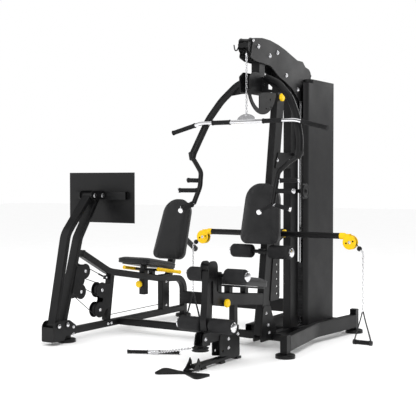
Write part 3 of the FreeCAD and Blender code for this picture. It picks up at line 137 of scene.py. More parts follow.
def bump(tree, shader, source, strength, depth, edge=0.0):
    """Small relief from a texture, over softened edges where edge is a radius."""
    relief = tree.nodes.new("ShaderNodeBump")
    relief.inputs["Strength"].default_value = strength
    relief.inputs["Distance"].default_value = depth
    tree.links.new(source, relief.inputs["Height"])
    if edge:
        soft = tree.nodes.new("ShaderNodeBevel")
        soft.samples = 4
        soft.inputs["Radius"].default_value = edge
        tree.links.new(soft.outputs["Normal"], relief.inputs["Normal"])
    tree.links.new(relief.outputs["Normal"], shader.inputs["Normal"])


def powder_coat(name, dark, light, rough=0.42):
    material, tree, shader = new_material(name, light, rough)
    patches = noise_node(tree, 6.0)
    peel = noise_node(tree, 1100.0, 2.0)
    tint(tree, shader, patches.outputs["Fac"], dark, light)
    spread(tree, patches.outputs["Fac"], rough - 0.05, rough + 0.07, shader.inputs["Roughness"])
    bump(tree, shader, peel.outputs["Fac"], 0.22, 0.0004, edge=0.0018)
    return material


def chrome_plate():
    material, tree, shader = new_material("chrome_plate", (0.82, 0.82, 0.84), 0.12, 1.0)
    wipe = noise_node(tree, 60.0)
    spread(tree, wipe.outputs["Fac"], 0.07, 0.2, shader.inputs["Roughness"])
    fine = noise_node(tree, 900.0, 1.0)
    bump(tree, shader, fine.outputs["Fac"], 0.04, 0.0002, edge=0.0006)
    return material


def pad_vinyl():
    material, tree, shader = new_material("pad_vinyl", (0.02, 0.02, 0.022), 0.48)
    grain = noise_node(tree, 420.0, kind="ShaderNodeTexVoronoi")
    patches = noise_node(tree, 14.0)
    tint(tree, shader, patches.outputs["Fac"], (0.006, 0.006, 0.007), (0.012, 0.012, 0.013))
    spread(tree, patches.outputs["Fac"], 0.42, 0.56, shader.inputs["Roughness"])
    bump(tree, shader, grain.outputs["Distance"], 0.35, 0.0006)
    shader.inputs["Sheen Weight"].default_value = 0.15
    return material


def closed_foam():
    material, tree, shader = new_material("closed_foam", (0.022, 0.022, 0.024), 0.72)
    cells = noise_node(tree, 800.0, kind="ShaderNodeTexVoronoi")
    patches = noise_node(tree, 20.0)
    tint(tree, shader, patches.outputs["Fac"], (0.008, 0.008, 0.009), (0.017, 0.017, 0.018))
    spread(tree, patches.outputs["Fac"], 0.62, 0.8, shader.inputs["Roughness"])
    bump(tree, shader, cells.outputs["Distance"], 0.4, 0.0005)
    return material


def moulded(name, dark, light, rough, scale=700.0, edge=0.0012):
    material, tree, shader = new_material(name, light, rough)
    patches = noise_node(tree, 18.0)
    pits = noise_node(tree, scale, 2.0)
    tint(tree, shader, patches.outputs["Fac"], dark, light)
    spread(tree, patches.outputs["Fac"], rough - 0.06, rough + 0.08, shader.inputs["Roughness"])
    bump(tree, shader, pits.outputs["Fac"], 0.25, 0.0004, edge)
    return material


def webbing():
    material, tree, shader = new_material("webbing", (0.02, 0.02, 0.02), 0.8)
    place = tree.nodes.new("ShaderNodeTexCoord")
    weave = tree.nodes.new("ShaderNodeTexWave")
    weave.inputs["Scale"].default_value = 190.0
    weave.bands_direction = "DIAGONAL"
    tree.links.new(place.outputs["Object"], weave.inputs["Vector"])
    tint(tree, shader, weave.outputs["Fac"], (0.012, 0.012, 0.013), (0.045, 0.045, 0.048))
    bump(tree, shader, weave.outputs["Fac"], 0.6, 0.0008)
    return material


def pale_floor():
    material, tree, shader = new_material("pale_floor", (0.93, 0.93, 0.93), 0.6)
    speckle = noise_node(tree, 3.0)
    shader.inputs["Specular IOR Level"].default_value = 0.0
    tint(tree, shader, speckle.outputs["Fac"], (0.95, 0.95, 0.95), (0.965, 0.965, 0.965))
    return material


STEEL = powder_coat("black_powder_coat", (0.003, 0.003, 0.0034), (0.0055, 0.0055, 0.006))
SHEET = powder_coat("shroud_coat", (0.0045, 0.0045, 0.005), (0.008, 0.008, 0.009), 0.5)
CHROME = chrome_plate()
YELLOW = powder_coat("yellow_coat", (0.86, 0.52, 0.0), (0.95, 0.6, 0.004), 0.36)
YELLOW_KNOB = moulded("yellow_nylon", (0.88, 0.56, 0.0), (0.96, 0.64, 0.01), 0.38, 900.0)
VINYL = pad_vinyl()
FOAM = closed_foam()
NYLON = moulded("black_nylon", (0.006, 0.006, 0.0065), (0.012, 0.012, 0.013), 0.42)
RUBBER = moulded("grip_rubber", (0.006, 0.006, 0.0065), (0.011, 0.011, 0.012), 0.66, 1200.0, 0.0)
IRON = moulded("plate_iron", (0.02, 0.02, 0.021), (0.045, 0.045, 0.047), 0.55, 500.0)
CABLE = moulded("cable_jacket", (0.012, 0.012, 0.012), (0.02, 0.02, 0.02), 0.35, 1500.0, 0.0)
THREAD = moulded("seam_thread", (0.03, 0.03, 0.032), (0.06, 0.06, 0.063), 0.6, 1500.0, 0.0)
WEBBING = webbing()
FLOOR = pale_floor()

SLOT_LOOK = {"black_steel": STEEL, "chrome": CHROME, "yellow": YELLOW, "pad_vinyl": VINYL, "foam": FOAM,
             "nylon": NYLON, "grip_rubber": RUBBER, "plate_iron": IRON, "cable": CABLE}


def dress_cad():
    """Give every carried-over CAD node its material, smooth where it is round."""
    slots = {part["node"]: part["material_slot"] for part in frame["record"]["subparts"]}
    for name, obj in nodes.items():
        obj.data.materials.clear()
        obj.data.materials.append(SLOT_LOOK[slots[name]])
        obj.data.shade_smooth()
        obj.data.set_sharp_from_angle(angle=math.radians(32))
    nodes["shroud"].data.materials[0] = SHEET


# ---------------------------------------------------------------- mesh helpers
def finish_piece(name, mesh, material, body, smooth_angle=35):
    """Link a mesh as a named piece with its material slot, on a body unless it is to be blended."""
    obj = bpy.data.objects.new(name, mesh)
    bpy.context.scene.collection.objects.link(obj)
    mesh.materials.append(material)
    mesh.shade_smooth()
    mesh.set_sharp_from_angle(angle=math.radians(smooth_angle))
    if body:
        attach(obj, body)
    return obj


def mesh_from(bm, name):
    bmesh.ops.remove_doubles(bm, verts=bm.verts, dist=1e-6)
    bmesh.ops.recalc_face_normals(bm, faces=bm.faces)
    mesh = bpy.data.meshes.new(name)
    bm.to_mesh(mesh)
    bm.free()
    return mesh


def basis(direction, hint=Z):
    """Two unit vectors across a direction."""
    direction = direction.normalized()
    if abs(direction.dot(hint)) > 0.95:
        hint = X
    side = direction.cross(hint).normalized()
    return side, side.cross(direction).normalized()


def lathe(bm, start, direction, profile, turns=40):
    """Turn a profile of (distance along, radius) about an axis; radius 0 closes an end."""
    side, up = basis(direction)
    direction = direction.normalized()
    rings = []
    for along, radius in profile:
        centre = start + direction * along
        if radius < 1e-6:
            rings.append([bm.verts.new(centre)])
            continue
        ring = []
        for i in range(turns):
            angle = 2 * math.pi * i / turns
            ring.append(bm.verts.new(centre + (side * math.cos(angle) + up * math.sin(angle)) * radius))
        rings.append(ring)
    for one, two in zip(rings, rings[1:]):
        for i in range(turns):
            j = (i + 1) % turns
            if len(one) == 1:
                bm.faces.new((one[0], two[i], two[j]))
            elif len(two) == 1:
                bm.faces.new((one[i], two[0], one[j]))
            else:
                bm.faces.new((one[i], two[i], two[j], one[j]))


def smooth_path(points, steps=8):
    """Points along a Catmull-Rom curve through the given points."""
    full = [points[0] * 2 - points[1]] + list(points) + [points[-1] * 2 - points[-2]]
    path = []
    for a, b, c, d in zip(full, full[1:], full[2:], full[3:]):
        for i in range(steps):
            t = i / steps
            path.append(0.5 * ((2 * b) + (c - a) * t + (2 * a - 5 * b + 4 * c - d) * t * t
                               + (3 * b - a - 3 * c + d) * t ** 3))
    path.append(points[-1])
    return path


def tube(bm, path, radius, turns=12, closed=False, flat=1.0):
    """A tube along a path; flat squeezes it across to make a strap."""
    rings = []
    count = len(path)
    side = None
    for i, point in enumerate(path):
        before = path[i - 1] if (i or closed) else path[0]
        after = path[(i + 1) % count] if (i < count - 1 or closed) else path[-1]
        run = (after - before).normalized()
        if side is None:
            side, _ = basis(run)
        side = (side - run * side.dot(run)).normalized()
        up = run.cross(side)
        ring = []
        for k in range(turns):
            angle = 2 * math.pi * k / turns
            ring.append(bm.verts.new(point + side * math.cos(angle) * radius
                                     + up * math.sin(angle) * radius * flat))
        rings.append(ring)
    pairs = list(zip(rings, rings[1:])) + ([(rings[-1], rings[0])] if closed else [])
    for one, two in pairs:
        for k in range(turns):
            m = (k + 1) % turns
            bm.faces.new((one[k], two[k], two[m], one[m]))
    if not closed:
        bm.faces.new(list(reversed(rings[0])))
        bm.faces.new(rings[-1])


# ---------------------------------------------------------------- pads
def rounded_outline(corners, radii, arc_steps=14, run_steps=10):
    """Points round a polygon whose corners are arcs; runs are divided evenly."""
    outline = []
    count = len(corners)
    ends = []
    for i, corner in enumerate(corners):
        back = (corners[i - 1] - corner).normalized()
        ahead = (corners[(i + 1) % count] - corner).normalized()
        half_turn = (math.pi - back.angle(ahead)) / 2
        reach = radii[i] * math.tan(half_turn)
        centre = corner + (back + ahead).normalized() * (radii[i] / math.cos(half_turn))
        first, last = corner + back * reach, corner + ahead * reach
        arc = []
        for k in range(arc_steps + 1):
            spoke = (first - centre).lerp(last - centre, k / arc_steps).normalized()
            arc.append(centre + spoke * radii[i])
        ends.append(arc)
    for i, arc in enumerate(ends):
        outline += arc
        following = ends[(i + 1) % count][0]
        outline += [arc[-1].lerp(following, k / run_steps) for k in range(1, run_steps)]
    return outline


PAD_CAP = 0.006


def simulate_pad(obj, pinned):
    """Inflate a stitched cover with Blender's cloth pressure, capped, and keep the result."""
    group = obj.vertex_groups.new(name="board")
    group.add(pinned, 1.0, "REPLACE")
    cloth = obj.modifiers.new("cloth", "CLOTH")
    settings = cloth.settings
    settings.quality = 5
    settings.mass = 0.25
    settings.tension_stiffness = settings.compression_stiffness = 20
    settings.shear_stiffness = 10
    settings.bending_stiffness = 0.8
    settings.use_pressure = True
    settings.uniform_pressure_force = 4.0
    settings.vertex_group_mass = "board"
    settings.effector_weights.gravity = 0.0
    cloth.collision_settings.use_collision = False
    scene = bpy.context.scene
    rest = [v.co.copy() for v in obj.data.vertices]
    for step in range(1, 15):
        scene.frame_set(step)
    shaped = obj.evaluated_get(bpy.context.evaluated_depsgraph_get())
    moved = [v.co.copy() for v in shaped.data.vertices]
    obj.modifiers.remove(cloth)
    for vertex, start, end in zip(obj.data.vertices, rest, moved):
        step = end - start
        if step.length > PAD_CAP:
            step *= PAD_CAP / step.length
        vertex.co = start + step
    obj.vertex_groups.clear()
    scene.frame_set(1)


def make_pad(node, body, origin, across, upward, size, radii):
    """A stitched cushion: crowned front, side band, piping and a row of stitches on its seam.

    origin is the middle of the lower back edge; size is (low width, high width, height, thickness).
    """
    low_wide, high_wide, tall, thick = (value * MM for value in size)
    across, upward = across.normalized(), upward.normalized()
    outward = across.cross(upward)
    slim = 0.001
    corners = [Vector((-low_wide / 2 + slim, slim)), Vector((low_wide / 2 - slim, slim)),
               Vector((high_wide / 2 - slim, tall - slim)), Vector((-high_wide / 2 + slim, tall - slim))]
    outline = rounded_outline(corners, [r * MM for r in radii])
    middle = Vector((0, tall / 2))
    reach = min(low_wide, tall) / 2
    bm = bmesh.new()
    rings = []
    seam_height = 0.66
    levels = [(0.55, 0.0), (0.3, 0.0), (0.05, 0.0), (0.012, 0.02), (0.0, 0.12), (0.0, 0.3), (0.003, 0.48),
              (0.0, seam_height), (0.018, 0.76), (0.05, 0.845), (0.11, 0.9), (0.2, 0.935), (0.32, 0.955),
              (0.46, 0.965), (0.6, 0.97), (0.74, 0.972), (0.88, 0.973)]
    for inset, height in levels:
        ring = []
        for point in outline:
            flat = middle + (point - middle) * (1 - inset)
            if inset < 0.1:
                flat = point + (middle - point).normalized() * (inset * reach)
            ring.append(bm.verts.new(origin + across * flat.x + upward * flat.y + outward * (height * thick)))
        rings.append(ring)
    count = len(outline)
    for one, two in zip(rings, rings[1:]):
        for i in range(count):
            j = (i + 1) % count
            bm.faces.new((one[i], one[j], two[j], two[i]))
    for ring, height in ((rings[0], 0.0), (rings[-1], 0.974)):
        hub = bm.verts.new(origin + upward * middle.y + outward * (height * thick))
        for i in range(count):
            bm.faces.new((ring[i], ring[(i + 1) % count], hub))
    bm.verts.index_update()
    pinned = [v.index for ring in rings[:4] for v in ring] + [len(bm.verts) - 2]
    pinned += [v.index for v in rings[7]]
    seam_ring = [v.index for v in rings[7]]
    stitch_ring = [v.index for v in rings[8]]
    mesh = mesh_from(bm, node + "_cover")
    cover = finish_piece(node + "_cover", mesh, VINYL, body, 60)
    simulate_pad(cover, pinned)
    seam = [cover.data.vertices[i].co.copy() for i in seam_ring]
    stitch_line = [cover.data.vertices[i].co.copy() for i in stitch_ring]
    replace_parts(cover, node)
    bm = bmesh.new()
    tube(bm, [p + outward * 0.0004 for p in seam], 0.0026, 10, closed=True)
    finish_piece(node + "_piping", mesh_from(bm, node + "_piping"), VINYL, body)
    bm = bmesh.new()
    pitch, carried = 0.0065, 0.0
    for a, b in zip(stitch_line, stitch_line[1:] + stitch_line[:1]):
        run = b - a
        while carried < run.length:
            start = a + run.normalized() * carried
            end = start + run.normalized() * 0.004
            lift = outward * 0.0007
            tube(bm, [start + lift * 0.2, (start + end) / 2 + lift, end + lift * 0.2], 0.0006, 6)
            carried += pitch
        carried -= run.length
    finish_piece(node + "_stitches", mesh_from(bm, node + "_stitches"), THREAD, body)
    return cover


def make_pads():
    """The two backrests and the two seats, each laid on its CAD board."""
    low_edge = 727
    lean = math.atan(UPRIGHT_LEAN)
    face = UPRIGHT_FACE_Y + (low_edge - UPRIGHT_FACE_Z) * UPRIGHT_LEAN - 88
    upward = Vector((0, math.sin(lean), math.cos(lean)))
    base = at(0, face, low_edge) + Vector((0, math.cos(lean), -math.sin(lean))) * 0.055
    make_pad("backrest_pad", "frame", base, X, upward, (300, 242, 410, 55), (55, 55, 112, 112))
    lean = math.radians(20)
    upward = Vector((0, math.sin(lean), math.cos(lean)))
    base = at(PRESS_X, 935, 515) + Vector((0, math.cos(lean), -math.sin(lean))) * 0.056
    make_pad("press_backrest_pad", "frame", base, X, upward, (310, 252, 515, 56), (55, 55, 118, 118))
    slope = Vector((0, -1, 0.13)).normalized()
    make_pad("seat_pad", "frame", at(0, 0, 506 - 54.5), -X, slope, (300, 300, 347.9, 54),
             (45, 45, 45, 45))
    slope = Vector((0, -1, 0.17)).normalized()
    make_pad("press_seat_pad", "press_seat", at(PRESS_X, 880, 555 - 419 * 0.17 - 47.5), -X, slope,
             (300, 300, 425, 47), (45, 45, 45, 45))


# ---------------------------------------------------------------- rollers, grips and knobs
ROLLER_RADIUS, ROLLER_BORE = 0.0458, 0.0135


def foam_roller(bm, start, end):
    """A foam sleeve with soft shoulders and a dimple where the rod goes in."""
    length = (end - start).length
    shoulder = 0.016
    profile = [(0.004, ROLLER_BORE), (0.001, ROLLER_BORE + 0.006), (0.0, ROLLER_BORE + 0.013)]
    for k in range(7):
        angle = math.pi / 2 * k / 6
        profile.append((shoulder - shoulder * math.cos(angle),
                        ROLLER_RADIUS - shoulder + shoulder * math.sin(angle)))
    swell = 0.0002
    middle = [(length * share, ROLLER_RADIUS + swell * math.sin(math.pi * share))
              for share in (0.3, 0.5, 0.7)]
    mirrored = [(length - along, radius) for along, radius in reversed(profile)]
    lathe(bm, start, end - start, profile + middle + mirrored + [profile[0]], 56)


def make_rollers():
    """The foam of the three roller pairs, and the chrome domes that close their rods."""
    sets = (("ankle_rollers", "ankle_roller_pair", "leg_lever", -535, 263, 32, 160),
            ("seat_rollers", "seat_roller_pair", "frame", -400, 558, 60, 150),
            ("back_rollers", "back_roller_pair", "frame", 158, 671, 64, 160))
    for node, body, rod_body, y, z, inner, length in sets:
        bm = bmesh.new()
        caps = bmesh.new()
        for sign in (-1, 1):
            start, end = at(sign * inner, y, z), at(sign * (inner + length), y, z)
            foam_roller(bm, start, end)
            dome = [(0.0, 0.0), (0.0, 0.0305), (0.003, 0.0312), (0.0085, 0.0305), (0.0125, 0.026),
                    (0.0155, 0.018), (0.0168, 0.009), (0.0172, 0.0)]
            lathe(caps, end + X * sign * 0.0012, X * sign, dome, 48)
        foam = finish_piece(node + "_foam", mesh_from(bm, node), FOAM, body, 50)
        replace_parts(foam, node)
        finish_piece(node + "_caps", mesh_from(caps, node + "_caps"), CHROME, rod_body)


def ribbed_grip(bm, start, end, radius, rib=0.0055):
    """A rubber sleeve with shallow ribs and a flange at each end."""
    length = (end - start).length
    profile = [(0.0, 0.0), (0.0, radius + 0.002), (0.005, radius + 0.002), (0.007, radius)]
    count = int((length - 0.014) / rib)
    pitch = (length - 0.014) / count
    for i in range(count):
        along = 0.007 + i * pitch
        profile += [(along + pitch * 0.2, radius), (along + pitch * 0.35, radius - 0.0011),
                    (along + pitch * 0.75, radius - 0.0011), (along + pitch * 0.9, radius)]
    profile += [(length - 0.007, radius), (length - 0.005, radius + 0.002), (length, radius + 0.002),
                (length, 0.0)]
    lathe(bm, start, end - start, profile, 32)


GRIP_SPANS = (((286, -150, 1150), (412, -108, 1152)), ((284, -175, 1085), (424, -200, 1085)),
              ((294, -222, 1002), (400, -200, 972)), ((292, -232, 996), (288, -385, 958)))


def make_press_grips():
    """Rubber sleeves on short chrome stubs, four on each press arm."""
    rubber, chrome = bmesh.new(), bmesh.new()
    for sign in (-1, 1):
        for start, end in GRIP_SPANS:
            a, b = at(sign * start[0], *start[1:]), at(sign * end[0], *end[1:])
            run = (b - a).normalized()
            lathe(chrome, a, run, [(0, 0), (0, 0.0105), (0.02, 0.0105), (0.02, 0)], 24)
            ribbed_grip(rubber, a + run * 0.018, b, 0.0148)
            cap = [(0, 0), (0, 0.0165), (0.004, 0.017), (0.0075, 0.0155), (0.0085, 0.012), (0.0085, 0)]
            lathe(chrome, b, run, cap, 32)
    grips = finish_piece("arm_grips", mesh_from(rubber, "arm_grips"), RUBBER, "press_arm")
    ends = finish_piece("arm_grip_ends", mesh_from(chrome, "arm_grip_ends"), CHROME, "press_arm")
    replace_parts(grips, "press_handgrips")
    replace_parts(ends, "press_handgrips")


def make_lat_bar():
    """The bent chrome bar, its four sleeves and the plate it hangs from."""
    y = LAT_Y
    chrome, rubber = bmesh.new(), bmesh.new()
    path = [at(-575, y, 1479), at(-480, y, 1503.5), at(-372, y, 1531.3), at(-354, y, 1534.5),
            at(-334, y, 1536), at(-200, y, 1536), at(0, y, 1536), at(200, y, 1536), at(334, y, 1536),
            at(354, y, 1534.5), at(372, y, 1531.3), at(480, y, 1503.5), at(575, y, 1479)]
    tube(chrome, path, 0.0125, 24)
    for sign in (-1, 1):
        ribbed_grip(rubber, at(sign * 124, y, 1536), at(sign * 262, y, 1536), 0.0153)
        ribbed_grip(rubber, at(sign * 402, y, 1523.6), at(sign * 583, y, 1477), 0.0153)
    bar_piece = finish_piece("lat_bar_chrome", mesh_from(chrome, "lat_bar_chrome"), CHROME, "lat_bar")
    grips = finish_piece("lat_bar_sleeves", mesh_from(rubber, "lat_bar_sleeves"), RUBBER, "lat_bar")
    plate = bmesh.new()
    rim = [(-69, 1549.2), (69, 1549.2), (69, 1553), (58, 1566), (40, 1578), (20, 1585), (0, 1587),
           (-20, 1585), (-40, 1578), (-58, 1566), (-69, 1553)]
    for depth in (-5, 5):
        plate.faces.new([plate.verts.new(at(x, y + depth, z)) for x, z in rim])
    plate.verts.ensure_lookup_table()
    count = len(rim)
    for i in range(count):
        j = (i + 1) % count
        plate.faces.new((plate.verts[i], plate.verts[j], plate.verts[count + j], plate.verts[count + i]))
    bmesh.ops.bevel(plate, geom=list(plate.edges), offset=0.0012, segments=2, affect="EDGES")
    hanger = finish_piece("lat_bar_plate", mesh_from(plate, "lat_bar_plate"), CHROME, "lat_bar")
    for piece in (bar_piece, grips, hanger):
        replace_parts(piece, "lat_bar")


def oval_link(bm, centre, run, across, length=0.0245, width=0.0155, wire=0.0024):
    """One welded chain link: a stadium of round wire."""
    half = (length - width) / 2
    bend = width / 2 - wire
    path = []
    for k in range(9):
        angle = math.pi * k / 8
        path.append(centre + run * (half + bend * math.sin(angle)) + across * (bend * math.cos(angle)))
    for k in range(9):
        angle = math.pi * k / 8
        path.append(centre - run * (half + bend * math.sin(angle)) - across * (bend * math.cos(angle)))
    tube(bm, path, wire, 10, closed=True)


def make_chain(name, body, node, start, end):
    """Links from start to end, each turned a quarter from the last."""
    bm = bmesh.new()
    run = (end - start).normalized()
    side, up = basis(run, Y)
    pitch = 0.0245 - 2 * 0.0024 - 0.0006
    count = max(2, round((end - start).length / pitch))
    pitch = (end - start).length / count
    for i in range(count):
        centre = start + run * (pitch * (i + 0.5))
        oval_link(bm, centre, run, side if i % 2 else up)
    chain = finish_piece(name, mesh_from(bm, name), CHROME, body, 60)
    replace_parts(chain, node)


def snap_hook(bm, top, drop):
    """A carabiner: an oval of wire with a thicker gate."""
    centre = top - Z * (drop / 2)
    oval_link(bm, centre, Z, X, drop, drop * 0.5, 0.003)
    lathe(bm, centre + X * (drop * 0.25 - 0.003) - Z * drop * 0.2, Z,
          [(0, 0), (0, 0.0044), (drop * 0.4, 0.0044), (drop * 0.4, 0)], 16)


def make_lat_hanger():
    """The chain from the front pulley's cable end to the lat bar."""
    make_chain("lat_chain_links", "lat_bar", "lat_hanger", at(0, LAT_Y, 1938), at(0, LAT_Y, 1592))
    bm = bmesh.new()
    fitting = [(0, 0), (0, 0.006), (0.004, 0.009), (0.016, 0.009), (0.02, 0.006), (0.024, 0.0035), (0.024, 0)]
    lathe(bm, at(0, LAT_Y, 1987), -Z, fitting, 24)
    snap_hook(bm, at(0, LAT_Y, 1967), 0.034)
    oval_link(bm, at(0, LAT_Y, 1586), Z, Y, 0.03, 0.018, 0.003)
    hook = finish_piece("lat_snap_hook", mesh_from(bm, "lat_snap_hook"), CHROME, "lat_bar", 60)
    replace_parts(hook, "lat_hanger")


def fluted_knob(bm, stem, start, out, stand, radius):
    """A pop-pin knob with finger flutes round its rim."""
    side, up = basis(out)
    neck = [(0, 0), (0, 0.0085), (stand * 0.55, 0.0085), (stand * 0.6, 0.006), (stand, 0.006), (stand, 0)]
    lathe(stem, start, out, neck, 20)
    profile = [(0.0, 0.012), (0.001, 0.8 * radius), (0.004, 0.95 * radius), (0.009, radius),
               (0.014, radius), (0.019, 0.93 * radius), (0.0215, 0.78 * radius), (0.0225, 0.5 * radius),
               (0.0215, 0.2 * radius)]
    turns, rings = 96, []
    for along, wide in profile:
        ring = []
        for i in range(turns):
            angle = 2 * math.pi * i / turns
            flute = 1 - 0.045 * (0.5 + 0.5 * math.cos(8 * angle)) * (wide / radius) ** 6
            offset = (side * math.cos(angle) + up * math.sin(angle)) * (wide * flute)
            ring.append(bm.verts.new(start + out * (stand + along) + offset))
        rings.append(ring)
    for one, two in zip(rings, rings[1:]):
        for i in range(turns):
            j = (i + 1) % turns
            bm.faces.new((one[i], one[j], two[j], two[i]))
    bm.faces.new(list(reversed(rings[0])))
    bm.faces.new(rings[-1])


def make_knobs():
    """The four yellow pop-pin knobs, each riding on its own pin."""
    places = (("press_seat_knob", "press_seat_pin", at(PRESS_X, 599, 330), -Y, 0.026),
              ("spine_knob", "spine_pin", at(25, -360, 380), X, 0.01),
              ("arm_knob", "arm_pin", at(25, 372, 1724), X, 0.008),
              ("crossbar_knob", "crossbar_pin", at(31, 392, 783), X, 0.012))
    for node, body, start, out, stand in places:
        head, stem = bmesh.new(), bmesh.new()
        fluted_knob(head, stem, start, out, stand, 0.028)
        knob = finish_piece(node + "_head", mesh_from(head, node), YELLOW_KNOB, body)
        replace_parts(knob, node)
        finish_piece(node + "_stem", mesh_from(stem, node + "_stem"), CHROME, body)


def make_side_grips():
    """The yellow grips beside the leg press seat."""
    bm = bmesh.new()
    for sign in (-1, 1):
        start, end = at(PRESS_X + sign * 168, 590, 454), at(PRESS_X + sign * 168, 890, 408)
        ribbed_grip(bm, start, end, 0.0138, 0.009)
    grips = finish_piece("side_grip_sleeves", mesh_from(bm, "side_grip_sleeves"), YELLOW, "frame")
    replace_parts(grips, "side_grips")


# ---------------------------------------------------------------- pulleys, swivels and handles
def groove_wheel(bm, centre, axis, radius, thick=0.022):
    """A moulded pulley: a deep groove, a recessed web on each side and a hub."""
    t = thick / 2
    profile = [(-t - 0.0015, 0.0064), (-t - 0.0015, 0.014), (-t + 0.001, 0.016), (-t + 0.002, radius * 0.72),
               (-t, radius * 0.78), (-t, radius - 0.002), (-t + 0.0015, radius), (-t + 0.003, radius),
               (-0.003, radius - 0.0055), (0.003, radius - 0.0055), (t - 0.003, radius), (t - 0.0015, radius),
               (t, radius - 0.002), (t, radius * 0.78), (t - 0.002, radius * 0.72), (t - 0.001, 0.016),
               (t + 0.0015, 0.014), (t + 0.0015, 0.0064), (-t - 0.0015, 0.0064)]
    lathe(bm, centre, axis, profile, 64)


WHEEL_RADIUS, SMALL_WHEEL_RADIUS = 0.053, 0.0477


def make_pulleys():
    """One moulded wheel for every CAD pulley that turns on its own."""
    wheels = (("front_pulley", "boom_pulley_front", at(*FRONT_PULLEY), X, WHEEL_RADIUS),
              ("rear_pulley_inner", "boom_pulley_mid", at(*MID_PULLEY), X, WHEEL_RADIUS),
              ("rear_pulley_outer", "boom_pulley_rear", at(*REAR_PULLEY), X, WHEEL_RADIUS),
              ("side_pulley", "tower_side_pulley", at(*SIDE_PULLEY), X, WHEEL_RADIUS),
              ("low_pulley", "low_row_pulley", at(*LOW_PULLEY), Z, WHEEL_RADIUS),
              ("arm_pulley_1", "link_pulley_upper", at(PRESS_X, *ARM_PULLEYS[0]), X, SMALL_WHEEL_RADIUS),
              ("arm_pulley_2", "link_pulley_lower", at(PRESS_X, *ARM_PULLEYS[1]), X, SMALL_WHEEL_RADIUS),
              ("strut_pulley_1", "strut_pulley_upper", at(PRESS_X, *STRUT_PULLEYS[0]), X, SMALL_WHEEL_RADIUS),
              ("strut_pulley_2", "strut_pulley_lower", at(PRESS_X, *STRUT_PULLEYS[1]), X, SMALL_WHEEL_RADIUS))
    for node, body, centre, axis, radius in wheels:
        bm = bmesh.new()
        groove_wheel(bm, centre, axis, radius)
        wheel = finish_piece(node + "_wheel", mesh_from(bm, node), NYLON, body, 30)
        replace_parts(wheel, node)


def swivel_cheek(bm, sign, y):
    """One yellow side plate of a swivel pulley housing: a disc with an arm and two round slots."""
    hub, arm_x, arm_top = Vector((SWIVEL_X, SWIVEL_Z)), 532, 797
    disc = [Vector((hub.x + SWIVEL_RADIUS * math.cos(math.radians(a)),
                    hub.y + SWIVEL_RADIUS * math.sin(math.radians(a)))) for a in range(90, -209, -6)]
    outline = [Vector((arm_x, 766)), Vector((arm_x, arm_top)), Vector((hub.x, arm_top))] + disc
    loops = [[Vector((sign * p.x, p.y)) for p in outline]]
    for way in (-1, 1):
        centre = Vector((sign * hub.x + way * 24, hub.y + way * 7))
        loops.append([centre + Vector((math.cos(math.pi * k / 12), math.sin(math.pi * k / 12))) * 6
                      for k in range(24)])
    sides = []
    for depth in (y, y + 4):
        rings = [[bm.verts.new(at(p.x, depth, p.y)) for p in loop] for loop in loops]
        edges = [bm.edges.new((a, b)) for ring in rings for a, b in zip(ring, ring[1:] + ring[:1])]
        bmesh.ops.triangle_fill(bm, use_beauty=True, edges=edges)
        sides.append(rings)
    for front, back in zip(*sides):
        for i in range(len(front)):
            j = (i + 1) % len(front)
            bm.faces.new((front[i], front[j], back[j], back[i]))


def box_piece(bm, low, high):
    """A plain block between two layout points."""
    corners = bmesh.ops.create_cube(bm, size=1.0)["verts"]
    start, end = at(*low), at(*high)
    for corner in corners:
        share = corner.co + Vector((0.5, 0.5, 0.5))
        corner.co = Vector(start[k] + (end[k] - start[k]) * share[k] for k in range(3))


def make_swivels():
    """Both swivel pulleys: yellow housing, black wheel and ball, chrome pin, and the handle below."""
    for sign, side in ((1, "right"), (-1, "left")):
        body = f"swivel_unit_{side}"
        shell, black, chrome = bmesh.new(), bmesh.new(), bmesh.new()
        swivel_cheek(shell, sign, 315)
        swivel_cheek(shell, sign, 345)
        box_piece(shell, (sign * 532, 318, 769), (sign * 544, 346, 797))
        shell.normal_update()
        rim = [edge for edge in shell.edges if edge.calc_face_angle(0) > 0.8]
        bmesh.ops.bevel(shell, geom=rim, offset=0.0008, segments=2, affect="EDGES")
        collar = [(0, 0), (0, 0.0205), (0.003, 0.022), (0.03, 0.022), (0.036, 0.0205), (0.039, 0.016),
                  (0.039, 0)]
        lathe(shell, at(sign * 501, SWIVEL_Y, 783), X * sign, collar, 40)
        wheel = at(sign * SWIVEL_X, SWIVEL_Y, SWIVEL_Z)
        groove_wheel(black, wheel, Y, 0.0424, 0.018)
        pin = [(0, 0), (0, 0.009), (0.003, 0.01), (0.003, 0.006), (0.038, 0.006), (0.038, 0.01),
               (0.041, 0.009), (0.041, 0)]
        lathe(chrome, wheel - Y * 0.0205, Y, pin, 24)
        for way in (-1, 1):
            cap_nut(chrome, wheel + Y * way * 0.0175, Y * way, 0.0085, 0.007)
        ball, ball_radius = at(sign * 639, SWIVEL_Y, 703), 0.017
        sphere = [(ball_radius - ball_radius * math.cos(math.pi * k / 12),
                   ball_radius * math.sin(math.pi * k / 12)) for k in range(13)]
        lathe(black, ball - Z * ball_radius, Z, sphere, 32)
        leaving = [at(sign * x, SWIVEL_Y, z) for x, z in ((612, 748), (620, 733), (633, 712))]
        tube(black, smooth_path(leaving, 6), CABLE_RADIUS, 12)
        yellow = finish_piece(f"swivel_{side}_shell", mesh_from(shell, "shell"), YELLOW, body)
        dark = finish_piece(f"swivel_{side}_wheel", mesh_from(black, "wheel"), NYLON, body)
        bright = finish_piece(f"swivel_{side}_pins", mesh_from(chrome, "pins"), CHROME, body)
        for piece in (yellow, dark, bright):
            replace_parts(piece, f"swivel_{side}")
        make_handle(sign, side)


